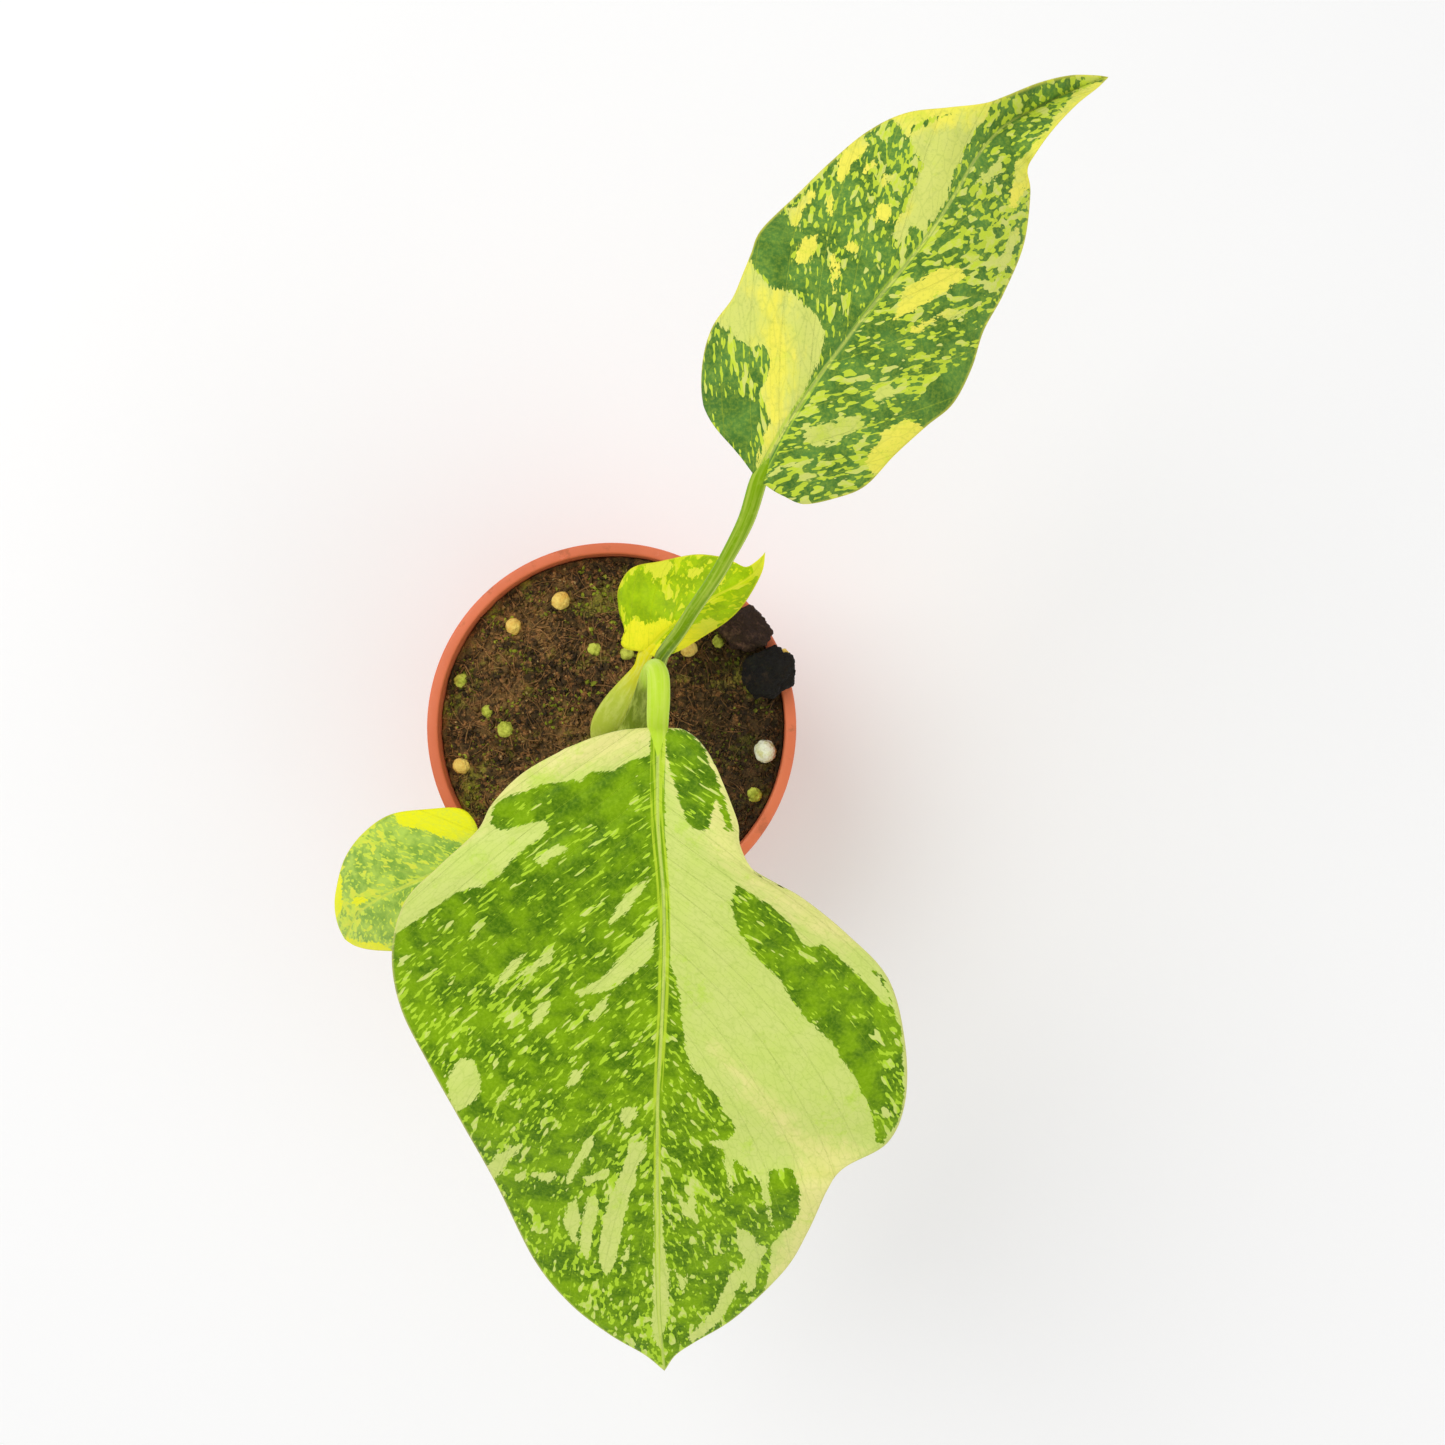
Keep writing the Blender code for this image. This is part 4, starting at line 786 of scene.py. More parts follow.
def stalk_tree():
    """Sweeps a ribbed oval section along a path, with its width and flatness from the path."""
    tree, given, out = geometry_tree(
        "stalk_sweep", (("Sides", "Int"), ("Rib Height", "Float"), ("Rib Count", "Float"),
                        ("Finish", "Material")))
    path = put(tree, "GeometryNodeMeshToCurve", {"Mesh": given["Geometry"]}).outputs[0]
    path = put(tree, "GeometryNodeSetCurveNormal", {"Curve": path}, mode="Z_UP").outputs[0]

    def stored(geometry, name, kind, value):
        """The geometry with a value kept on its points."""
        node = put(tree, "GeometryNodeStoreNamedAttribute", data_type=kind, domain=POINTS)
        tree.links.new(geometry, node.inputs["Geometry"])
        node.inputs["Name"].default_value = name
        tree.links.new(value, node.inputs["Value"])
        return node.outputs[0]

    def read(name, kind):
        """A value kept on the points."""
        node = put(tree, "GeometryNodeInputNamedAttribute", data_type=kind)
        node.inputs["Name"].default_value = name
        return node.outputs[0]

    share = put(tree, "GeometryNodeSplineParameter").outputs["Factor"]
    place = put(tree, "GeometryNodeInputPosition").outputs[0]
    tangent = put(tree, "GeometryNodeInputTangent").outputs[0]
    path = stored(path, "along", FIELD, share)
    path = stored(path, "centre", "FLOAT_VECTOR", place)
    path = stored(path, "ahead", "FLOAT_VECTOR", tangent)
    section = put(tree, "GeometryNodeCurvePrimitiveCircle", {"Resolution": given["Sides"]})
    section.inputs["Radius"].default_value = 1.0
    around = put(tree, "GeometryNodeSplineParameter").outputs["Factor"]
    ribs = calc(tree, "MULTIPLY", calc(tree, "MULTIPLY", around, math.tau), given["Rib Count"])
    swell = calc(tree, "MULTIPLY_ADD", calc(tree, "COSINE", ribs), given["Rib Height"], 1.0)
    shaped = put(tree, "GeometryNodeSetPosition", {"Geometry": section.outputs[0]})
    spot = put(tree, "GeometryNodeInputPosition").outputs[0]
    scaled = put(tree, "ShaderNodeVectorMath", {"Vector": spot, "Scale": swell}, operation="SCALE")
    tree.links.new(scaled.outputs[0], shaped.inputs["Position"])
    profile = stored(shaped.outputs[0], "around", FIELD, around)
    tube = put(tree, "GeometryNodeCurveToMesh", {"Curve": path, "Profile Curve": profile,
                                                 "Scale": read("half_width", FIELD)})
    tube.inputs["Fill Caps"].default_value = True
    here = put(tree, "GeometryNodeInputPosition").outputs[0]
    away = vector_calc(tree, "SUBTRACT", here, read("centre", "FLOAT_VECTOR"))
    ahead = read("ahead", "FLOAT_VECTOR")
    side = vector_calc(tree, "NORMALIZE", vector_calc(tree, "CROSS_PRODUCT", (0, 0, 1.0), ahead))
    up = vector_calc(tree, "NORMALIZE", vector_calc(tree, "CROSS_PRODUCT", ahead, side))
    height = vector_calc(tree, "DOT_PRODUCT", away, up)
    less = calc(tree, "SUBTRACT", read("flatness", FIELD), 1.0)
    share_up = calc(tree, "MULTIPLY", height, less)
    push = put(tree, "ShaderNodeVectorMath", {"Vector": up, "Scale": share_up},
               operation="SCALE").outputs[0]
    moved = put(tree, "GeometryNodeSetPosition", {"Geometry": tube.outputs[0], "Offset": push})
    close_tree(tree, moved.outputs[0], given["Finish"], out)
    return tree


def make_stalk(name, node, stalk, tree, finish):
    """A leaf stalk, with rounded ends."""
    rows = smooth_curve([(*p, *w) for p, w in zip(stalk.points, stalk.widths)], STALK_STATIONS)
    rows[:, 2] += soil_top
    run = np.concatenate([[0], np.cumsum(np.linalg.norm(np.diff(rows[:, :3], axis=0), axis=1))])
    half = rows[:, 3] / 2
    from_end = np.minimum(run, run[-1] - run)
    half = half * np.sqrt(np.clip(1 - (1 - np.clip(from_end / END_ROUNDING, 0, 1)) ** 2, 0.06, 1))
    mesh = bpy.data.meshes.new(name + "_path")
    mesh.from_pydata((rows[:, :3] * MM).tolist(), [(i, i + 1) for i in range(STALK_STATIONS - 1)],
                     [])
    mesh.attributes.new("half_width", "FLOAT", "POINT").data.foreach_set("value", half * MM)
    flat = rows[:, 4] / rows[:, 3]
    mesh.attributes.new("flatness", "FLOAT", "POINT").data.foreach_set("value", flat)
    inputs = {"Sides": STALK_SIDES, "Rib Height": RIB_HEIGHT, "Rib Count": RIB_COUNT,
              "Finish": finish}
    return grow(name, mesh, tree, inputs, [node])


def streak_group():
    """Streaks along a stalk, a pale band down one side and fine grain. On the rear stalk the band is
    partly a painted highlight.
    """
    tree, given, out = group(
        "stalk_streaks", (("Along", FLOAT, 0.0), ("Around", FLOAT, 0.0), ("Place", VECTOR, None),
                          ("Stripe Side", FLOAT, 0.25), ("Stripe Width", FLOAT, 0.1)),
        ("Streak", "Stripe", "Grain"))
    drawn = put(tree, "ShaderNodeCombineXYZ",
                {0: calc(tree, "MULTIPLY", given["Around"], 9.0),
                 1: calc(tree, "MULTIPLY", given["Along"], 5.0)}).outputs[0]
    streak = cloud(tree, drawn, 1.6, 3.0, 0.6)
    tree.links.new(streak, out["Streak"])
    off = calc(tree, "PINGPONG", calc(tree, "SUBTRACT", given["Around"], given["Stripe Side"]), 0.5)
    off = calc(tree, "MULTIPLY_ADD", calc(tree, "SUBTRACT", streak, 0.5), 0.08, off)
    off = calc(tree, "DIVIDE", off, given["Stripe Width"])
    tree.links.new(ramp(tree, off, 0.6, 1.0, 0.85, 0.0), out["Stripe"])
    tree.links.new(cloud(tree, given["Place"], 900.0, 2.0, 0.6), out["Grain"])
    return tree


def stalk_material(name, made_group, low, high, stripe_and_highlight, side, width, change):
    """A fleshy stalk: a colour near its foot, one near the leaf, and a pale band on one side, which on
    the rear stalk is partly a painted highlight.
    """
    made, tree, shader = material(name, 0.42, 0.1)
    along = attribute(tree, "along", "Fac")
    marks = place_group(tree, made_group, {
        "Along": along, "Around": attribute(tree, "around", "Fac"), "Stripe Side": side,
        "Stripe Width": width, "Place": object_place(tree)})
    colour = blend(tree, ramp(tree, along, *change), low, high)
    colour = blend(tree, ramp(tree, marks["Streak"], 0.4, 0.7, 0.0, 0.45), colour, stripe_and_highlight)
    # Pale band along one side: real striping, and on the rear stalk partly a painted highlight.
    colour = blend(tree, marks["Stripe"], colour, stripe_and_highlight)
    colour = blend(tree, ramp(tree, marks["Grain"], 0.5, 0.8, 0.0, 0.2), colour, stripe_and_highlight)
    tree.links.new(colour, shader.inputs["Base Color"])
    height = calc(tree, "MULTIPLY_ADD", marks["Grain"], 0.3, marks["Streak"])
    bump(tree, shader, height, 0.1 * MM)
    return made


def turned(profile, sides, shape=None):
    """Vertices and faces of a solid of revolution from (radius, height) points, axis to axis."""
    vertices, rings = [], []
    for radius, height in profile:
        if radius == 0:
            rings.append([len(vertices)] * sides)
            vertices.append((0, 0, height))
            continue
        rings.append(list(range(len(vertices), len(vertices) + sides)))
        for i in range(sides):
            a = math.tau * i / sides
            r = radius if shape is None else shape(radius, a, height)
            vertices.append((r * math.cos(a), r * math.sin(a), height))
    faces = []
    for lower, upper in zip(rings, rings[1:]):
        for i in range(sides):
            j = (i + 1) % sides
            faces.append(list(dict.fromkeys([lower[i], lower[j], upper[j], upper[i]])))
    return vertices, faces


STEM_DIAMETER, STEM_ABOVE, STEM_BELOW, STEM_JOINT = 9.0, 15.0, 16.0, 1.1


def make_stem(finish):
    """The short fleshy stem with ringed joints, mostly hidden under the leaves."""
    radius = STEM_DIAMETER / 2
    shape = ((0, 0.0), (0.3, 0.0), (0.55, 0.005), (0.75, 0.02), (0.9, 0.06), (1.0, 0.2), (0.97, 0.35),
             (0.95, 0.47), (1.02, 0.5), (STEM_JOINT, 0.52), (1.02, 0.54), (0.96, 0.6), (0.95, 0.7),
             (0.98, 0.77), (STEM_JOINT, 0.8), (1.0, 0.825), (0.92, 0.86), (0.8, 0.94), (0.6, 0.98),
             (0.35, 0.997), (0, 1.0))
    low, high = soil_top - STEM_BELOW, soil_top + STEM_ABOVE
    rows = smooth_curve([(radius * r, low + (high - low) * t, 0) for r, t in shape], 90)
    rows[0, 0] = rows[-1, 0] = 0

    def uneven(r, a, height):
        """A radius with slow lumps."""
        spot = Vector((math.cos(a) * 1.5, math.sin(a) * 1.5, height * 0.25))
        return r * (1 + 0.06 * noise.noise(spot))

    vertices, faces = turned([(max(r, 0), z) for r, z, _ in rows], 48, uneven)
    placed = [(x + STEM_PLACE[0], y + STEM_PLACE[1], z) for x, y, z in vertices]
    return piece("stem_body", placed, faces, finish, ["stem"])


def stem_material():
    """The short main stem: streaked olive with small brown flecks."""
    made, tree, shader = material("stem_skin", 0.55, 0.15)
    here = object_place(tree)
    stretched = put(tree, "ShaderNodeMapping", {"Vector": here, "Scale": (1, 1, 0.25)}).outputs[0]
    streak = cloud(tree, stretched, 420.0, 3.0, 0.6)
    colour = blend(tree, ramp(tree, streak, 0.35, 0.65), tint(104, 126, 16), tint(166, 180, 66))
    colour = blend(tree, ramp(tree, cloud(tree, here, 1300.0), 0.58, 0.72, 0.0, 0.35), colour,
                   tint(120, 96, 40))
    tree.links.new(colour, shader.inputs["Base Color"])
    bump(tree, shader, streak, 0.3 * MM)
    return made


# ---- Pot -------------------------------------------------------------------------------------
POT_BASE_DIAMETER, POT_WALL, LIP_OVERHANG, LIP_HEIGHT = 62.0, 1.2, 1.5, 2.4
COLLAR_HEIGHT, COLLAR_STEP, COLLAR_TAPER, STEP_OFFSET = 12.0, 1.2, 0.2, 0.4
FLOOR_THICKNESS, BASE_FILLET, LIP_CURVE, CORNER_STEPS = 1.8, 1.6, 0.6, 4
DRAIN_COUNT, DRAIN_DIAMETER, DRAIN_RING_RADIUS, DRAIN_TURN = 8, 6.0, 23.5, 9.0
GROOVE_WIDTH, GROOVE_DEPTH, OUTLET_WIDTH, OUTLET_DEPTH = 7.0, 0.9, 3.0, 0.7
mouth_radius = rim_radius - LIP_OVERHANG - POT_WALL


def rounded(points, size):
    """A profile with each inner corner eased over a short length."""
    made = [points[0]]
    for before, here, after in zip(points, points[1:], points[2:]):
        a, b, c = (np.array(p, float) for p in (before, here, after))
        ease = min(size, 0.45 * np.linalg.norm(a - b), 0.45 * np.linalg.norm(c - b))
        start = b + (a - b) / np.linalg.norm(a - b) * ease
        end = b + (c - b) / np.linalg.norm(c - b) * ease
        for t in np.linspace(0, 1, CORNER_STEPS):
            made.append(tuple((1 - t) ** 2 * start + 2 * t * (1 - t) * b + t ** 2 * end))
    return made + [points[-1]]


def pot_tree():
    """Cuts a ring of drain holes and their run-out slots through the pot's foot."""
    tree, given, out = geometry_tree(
        "drain_holes", (("Hole Count", "Int"), ("Hole Radius", "Float"), ("Ring Radius", "Float"),
                        ("First Angle", "Float"), ("Slot Width", "Float"), ("Slot Depth", "Float"),
                        ("Slot Reach", "Float"), ("Finish", "Material")))
    cutters = put(tree, "GeometryNodeJoinGeometry")
    spin = put(tree, "ShaderNodeCombineXYZ", {2: given["First Angle"]}).outputs[0]
    circle = put(tree, "GeometryNodeMeshCircle", {"Vertices": given["Hole Count"],
                                                  "Radius": given["Ring Radius"]}).outputs[0]
    circle = put(tree, "GeometryNodeTransform", {"Geometry": circle, "Rotation": spin}).outputs[0]
    drill = put(tree, "GeometryNodeMeshCylinder", {"Vertices": 32, "Radius": given["Hole Radius"],
                                                   "Depth": 8 * MM}).outputs[0]
    holes = put(tree, "GeometryNodeInstanceOnPoints", {"Points": circle, "Instance": drill})
    tree.links.new(holes.outputs[0], cutters.inputs[0])
    half = calc(tree, "DIVIDE", given["Hole Count"], 2.0)
    few = put(tree, "GeometryNodeMeshCircle", {"Vertices": half, "Radius": given["Slot Reach"]})
    between = calc(tree, "ADD", given["First Angle"],
                   calc(tree, "DIVIDE", math.pi, given["Hole Count"]))
    turn = put(tree, "ShaderNodeCombineXYZ", {2: between}).outputs[0]
    few = put(tree, "GeometryNodeTransform", {"Geometry": few.outputs[0], "Rotation": turn})
    outward = put(tree, "FunctionNodeAlignRotationToVector",
                  {"Vector": put(tree, "GeometryNodeInputPosition").outputs[0]}, axis="X")
    depth = calc(tree, "MULTIPLY", given["Slot Depth"], 2.0)
    size = put(tree, "ShaderNodeCombineXYZ", {0: 9 * MM, 1: given["Slot Width"], 2: depth})
    block = put(tree, "GeometryNodeMeshCube", {"Size": size.outputs[0]}).outputs[0]
    slots = put(tree, "GeometryNodeInstanceOnPoints",
                {"Points": few.outputs[0], "Instance": block, "Rotation": outward.outputs[0]})
    tree.links.new(slots.outputs[0], cutters.inputs[0])
    real = put(tree, "GeometryNodeRealizeInstances", {"Geometry": cutters.outputs[0]}).outputs[0]
    cut = put(tree, "GeometryNodeMeshBoolean", operation="DIFFERENCE", solver="EXACT")
    tree.links.new(given["Geometry"], cut.inputs["Mesh 1"])
    tree.links.new(real, cut.inputs["Mesh 2"])
    made = put(tree, "GeometryNodeSetMaterial", {"Geometry": cut.outputs[0],
                                                 "Material": given["Finish"]}).outputs[0]
    made = put(tree, "GeometryNodeRealizeInstances", {"Geometry": made}).outputs[0]
    tree.links.new(made, out["Geometry"])
    return tree


def make_pot(tree, finish):
    """A thin tapered pot with a rolled lip, a stacking collar and a drained base."""
    base = POT_BASE_DIAMETER / 2
    collar_bottom = pot_height - COLLAR_HEIGHT
    collar = rim_radius - LIP_OVERHANG
    inner, outer = DRAIN_RING_RADIUS - GROOVE_WIDTH / 2, DRAIN_RING_RADIUS + GROOVE_WIDTH / 2
    profile = [(0, 0), (inner, 0), (inner, GROOVE_DEPTH), (outer, GROOVE_DEPTH), (outer, 0),
               (base - 0.3, 0), (base, BASE_FILLET),
               (collar - COLLAR_STEP, collar_bottom - COLLAR_STEP),
               (collar - COLLAR_TAPER, collar_bottom), (collar, pot_height - LIP_HEIGHT),
               (rim_radius, pot_height - LIP_HEIGHT), (rim_radius, pot_height),
               (mouth_radius, pot_height), (mouth_radius - COLLAR_TAPER, collar_bottom + STEP_OFFSET),
               (mouth_radius - COLLAR_STEP, collar_bottom - COLLAR_STEP + STEP_OFFSET),
               (base - POT_WALL, FLOOR_THICKNESS), (0, FLOOR_THICKNESS)]
    vertices, faces = turned(rounded(profile, LIP_CURVE), 180)
    mesh = bpy.data.meshes.new("pot_source")
    mesh.from_pydata([tuple(c * MM for c in v) for v in vertices], [], faces)
    inputs = {"Hole Count": DRAIN_COUNT, "Hole Radius": DRAIN_DIAMETER / 2 * MM,
              "Ring Radius": DRAIN_RING_RADIUS * MM, "First Angle": math.radians(DRAIN_TURN),
              "Slot Width": OUTLET_WIDTH * MM, "Slot Depth": OUTLET_DEPTH * MM,
              "Slot Reach": (outer + 2.5) * MM, "Finish": finish}
    pot = grow("nursery_pot", mesh, tree, inputs, ["pot"])
    pot.data.shade_smooth()
    pot.data.set_sharp_from_angle(angle=math.radians(35))
    return pot


def pot_material():
    """Terracotta-coloured plastic, satin, scuffed and dusted with mix near the rim and foot."""
    made, tree, shader = material("terracotta_plastic", 0.42, 0.3)
    here = object_place(tree)
    height = put(tree, "ShaderNodeSeparateXYZ", {0: here}).outputs[2]
    soft = cloud(tree, here, 60.0, 3.0, 0.6)
    fine = cloud(tree, here, 1200.0, 3.0, 0.7)
    colour = blend(tree, ramp(tree, soft, 0.3, 0.7), tint(222, 114, 74), tint(234, 124, 84))
    scuff_place = put(tree, "ShaderNodeMapping", {"Vector": here, "Scale": (1, 1, 5)}).outputs[0]
    scuffs = ramp(tree, cloud(tree, scuff_place, 300.0, 4.0, 0.75), 0.6, 0.72, 0.0, 0.2)
    colour = blend(tree, scuffs, colour, tint(246, 160, 132))
    dust = calc(tree, "MULTIPLY", ramp(tree, height, 0.058, 0.071, 0.15, 1.0),
                ramp(tree, cloud(tree, here, 150.0, 5.0, 0.7), 0.56, 0.68))
    foot = calc(tree, "MULTIPLY", ramp(tree, height, 0.0, 0.012, 1.0, 0.0),
                ramp(tree, soft, 0.35, 0.7))
    dirt = calc(tree, "MULTIPLY", calc(tree, "MAXIMUM", dust, foot), 0.3)
    colour = blend(tree, dirt, colour, tint(120, 78, 52))
    tree.links.new(colour, shader.inputs["Base Color"])
    rough = calc(tree, "MULTIPLY_ADD", dirt, 0.6, ramp(tree, fine, 0.3, 0.7, 0.36, 0.5))
    tree.links.new(rough, shader.inputs["Roughness"])
    bump(tree, shader, calc(tree, "ADD", fine, scuffs), 0.05 * MM)
    return made


# ---- Potting mix and what lies on it ---------------------------------------------------------
SOIL_ROUGHNESS, SOIL_CRUMBLE, SOIL_SLACK, CLEARANCE = 1.1, 1.0, 0.4, 0.3
RIM_BANK_SPREAD, STEM_BANK_SPREAD = 90, 120  # square millimetres
BANK_BELOW_RIM, STEM_BANK_HEIGHT, LEAST_BELOW_RIM = 1.2, 1.5, 0.8
STEM_CLEARANCE, PATCH_STEP, CLUMPS_PER_MM = 6, 1.2, 0.09
PERLITE = ((112.2, 0.80, 4.6), (134.6, 0.83, 4.2), (-8.9, 0.92, 5.8), (194.2, 0.98, 4.4),
           (46.0, 0.64, 4.4))
GREEN_PERLITE = ((162.8, 0.97, 3.4), (172.6, 0.74, 3.0), (181.0, 0.63, 4.0), (103.3, 0.47, 3.6),
                 (79.1, 0.44, 3.4), (39.0, 0.80, 3.2), (-25.5, 0.92, 3.6))
BARK_LUMP = (19.2, 4.6, (6.6, 5.4, 3.6), 20.0)
PEAT_LUMP = (36.5, 5.0, (5.0, 6.2, 3.0), 40.0)
soil_radius = mouth_radius - CLEARANCE


def polar(angle, radius):
    """Across and along of a point at an angle in degrees."""
    return radius * math.cos(math.radians(angle)), radius * math.sin(math.radians(angle))


def lump_place(lump):
    """Centre of a lump that lies across the lip, just clear of it."""
    angle, inside, half_sizes, _ = lump
    x, y = polar(angle, rim_radius - inside)
    return x, y, pot_height + CLEARANCE + half_sizes[2] * 1.05


def soil_height(x, y, fine=0.0):
    """The mix's surface: uneven, banked up under the lumps on the rim and around the stem."""
    rough = noise.noise(Vector((x * 0.11, y * 0.11, 0.4))) * 1.3
    rough += noise.noise(Vector((x * 0.33, y * 0.33, 7.4))) * 0.7
    height = soil_top + SOIL_ROUGHNESS * rough
    for lump in (BARK_LUMP, PEAT_LUMP):
        cx, cy, _ = lump_place(lump)
        near = math.exp(-((x - cx) ** 2 + (y - cy) ** 2) / RIM_BANK_SPREAD)
        height += (pot_height - BANK_BELOW_RIM - soil_top) * near
    away = (x - STEM_PLACE[0]) ** 2 + (y - STEM_PLACE[1]) ** 2
    height += STEM_BANK_HEIGHT * math.exp(-away / STEM_BANK_SPREAD)
    height = min(height, pot_height - LEAST_BELOW_RIM)
    if fine:
        crumb = noise.noise(Vector((x * 0.9, y * 0.9, 3.0))) + 0.6 * noise.noise(
            Vector((x * 2.1, y * 2.1, 9.0))) + 0.35 * noise.noise(Vector((x * 4.7, y * 4.7, 5.0)))
        height += fine * crumb
    return height


def make_soil(finish):
    """The mix, filling the pot, with a crumbly surface."""
    rings, sides = 84, 220
    vertices = [(0, 0, soil_height(0, 0, SOIL_CRUMBLE))]
    for ring in range(1, rings + 1):
        radius = soil_radius * ring / rings
        for i in range(sides):
            x, y = polar(360 * i / sides, radius)
            vertices.append((x, y, soil_height(x, y, SOIL_CRUMBLE)))
    collar_bottom = pot_height - COLLAR_HEIGHT
    walls = ((soil_radius - SOIL_SLACK, collar_bottom + 1.5),
             (soil_radius - COLLAR_STEP - SOIL_SLACK, collar_bottom - COLLAR_STEP),
             (POT_BASE_DIAMETER / 2 - POT_WALL - CLEARANCE - 0.2, FLOOR_THICKNESS + CLEARANCE))
    for radius, height in walls:
        vertices += [(*polar(360 * i / sides, radius), height) for i in range(sides)]
    vertices.append((0, 0, FLOOR_THICKNESS + CLEARANCE))
    total = rings + len(walls)
    faces = []
    for i in range(sides):
        j = (i + 1) % sides
        faces.append([0, 1 + i, 1 + j])
        for ring in range(total - 1):
            a = 1 + ring * sides
            faces.append([a + i, a + sides + i, a + sides + j, a + j])
        last = 1 + (total - 1) * sides
        faces.append([last + i, len(vertices) - 1, last + j])
    return piece("potting_mix", vertices, faces, finish, ["soil"])


def mix_group():
    """Patches, chips, moss and grit for peat, bark and fibre, and a painted shade that grows towards +x.
    """
    tree, given, out = group("potting_bits", (("Place", VECTOR, None),),
                             ("Patch", "Chip", "Moss", "Grit", "Painted Shade"))
    place = given["Place"]
    big = cloud(tree, place, 110.0, 4.0, 0.65)
    tree.links.new(big, out["Patch"])
    tree.links.new(cloud(tree, place, 520.0, 4.0, 0.7), out["Chip"])
    moved = put(tree, "ShaderNodeMapping", {"Vector": place, "Location": (3, 1, 2)}).outputs[0]
    tree.links.new(cloud(tree, moved, 75.0, 5.0, 0.75), out["Moss"])
    tree.links.new(cloud(tree, place, 1900.0, 2.0, 0.7), out["Grit"])
    # Painted shade: darker towards +x, the right side seen from above, broken up by slow noise.
    aside = put(tree, "ShaderNodeSeparateXYZ", {0: place}).outputs[0]
    painted_shade = calc(tree, "MULTIPLY_ADD", calc(tree, "SUBTRACT", big, 0.5), 0.16, aside)
    tree.links.new(painted_shade, out["Painted Shade"])
    return tree


def mix_material(name, made_group, colours):
    """Damp peat, bark and fibre in broken patches of four colours, with painted shade darkening them
    towards +x.
    """
    dark, brown, red, moss = colours
    made, tree, shader = material(name, 0.9, 0.25)
    bits = place_group(tree, made_group, {"Place": object_place(tree)})
    colour = blend(tree, ramp(tree, bits["Patch"], 0.4, 0.62), dark, brown)
    colour = blend(tree, ramp(tree, bits["Chip"], 0.5, 0.64, 0.0, 0.8), colour, red)
    colour = blend(tree, ramp(tree, bits["Moss"], 0.53, 0.62, 0.0, 0.7), colour, moss)
    colour = blend(tree, ramp(tree, bits["Grit"], 0.35, 0.6, 0.5, 0.0), colour, dark)
    # Painted shade: the +x side blended towards near black.
    colour = blend(tree, ramp(tree, bits["Painted Shade"], 0.004, 0.036, 0.0, 0.66), colour,
                   tint(20, 17, 13))
    tree.links.new(colour, shader.inputs["Base Color"])
    tree.links.new(ramp(tree, bits["Chip"], 0.3, 0.7, 0.72, 0.98), shader.inputs["Roughness"])
    height = calc(tree, "MULTIPLY_ADD", bits["Grit"], 0.5, bits["Chip"])
    bump(tree, shader, height, 0.7 * MM)
    return made


def scatter_tree(kind):
    """Strews crumbs or fibres over a surface."""
    tree, given, out = geometry_tree(
        "scatter_" + kind, (("Density", "Float"), ("Size", "Float"), ("Seed", "Int"),
                            ("Finish", "Material")))
    spread = put(tree, "GeometryNodeDistributePointsOnFaces", {"Mesh": given["Geometry"],
                 "Density": given["Density"], "Seed": given["Seed"]})
    if kind == "crumbs":
        ball = put(tree, "GeometryNodeMeshIcoSphere", {"Radius": 1.0, "Subdivisions": 2})
        place = put(tree, "GeometryNodeInputPosition").outputs[0]
        rough = put(tree, "ShaderNodeTexNoise", {"Vector": place, "Scale": 1.3}).outputs["Fac"]
        swell = calc(tree, "MULTIPLY_ADD", rough, 1.5, 0.25)
        size = put(tree, "ShaderNodeVectorMath", {"Vector": place, "Scale": swell},
                   operation="SCALE").outputs[0]
        shape = put(tree, "GeometryNodeSetPosition", {"Geometry": ball.outputs[0],
                                                      "Position": size}).outputs[0]
        low, high = (0.35, 0.35, 0.25), (1.3, 1.1, 0.8)
        tip, lean = (-3.1, -3.1, -3.1), (3.1, 3.1, 3.1)
    else:
        bow = put(tree, "GeometryNodeCurveQuadraticBezier", {"Resolution": 7,
                  "Start": (-4.0, 0, -0.2), "Middle": (0.4, 1.6, 1.5), "End": (4.2, -0.3, -0.3)})
        ring = put(tree, "GeometryNodeCurvePrimitiveCircle", {"Resolution": 4})
        ring.inputs["Radius"].default_value = 0.14
        tube = put(tree, "GeometryNodeCurveToMesh", {"Curve": bow.outputs[0],
                                                     "Profile Curve": ring.outputs[0]})
        tube.inputs["Fill Caps"].default_value = True
        shape = tube.outputs[0]
        low, high = (0.3, 0.3, 0.3), (1.4, 1.6, 1.0)
        tip, lean = (-0.35, -0.3, -3.1), (0.35, 0.3, 3.1)
    seed = given["Seed"]
    scale = put(tree, "FunctionNodeRandomValue", {"Min": low, "Max": high, "Seed": seed},
                data_type="FLOAT_VECTOR").outputs[0]
    scale = put(tree, "ShaderNodeVectorMath", {"Vector": scale, "Scale": given["Size"]},
                operation="SCALE").outputs[0]
    turn = put(tree, "FunctionNodeRandomValue", {"Min": tip, "Max": lean, "Seed": seed},
               data_type="FLOAT_VECTOR").outputs[0]
    strewn = put(tree, "GeometryNodeInstanceOnPoints", {"Points": spread.outputs[0],
                 "Instance": shape, "Rotation": turn, "Scale": scale}).outputs[0]
    close_tree(tree, strewn, given["Finish"], out)
    return tree


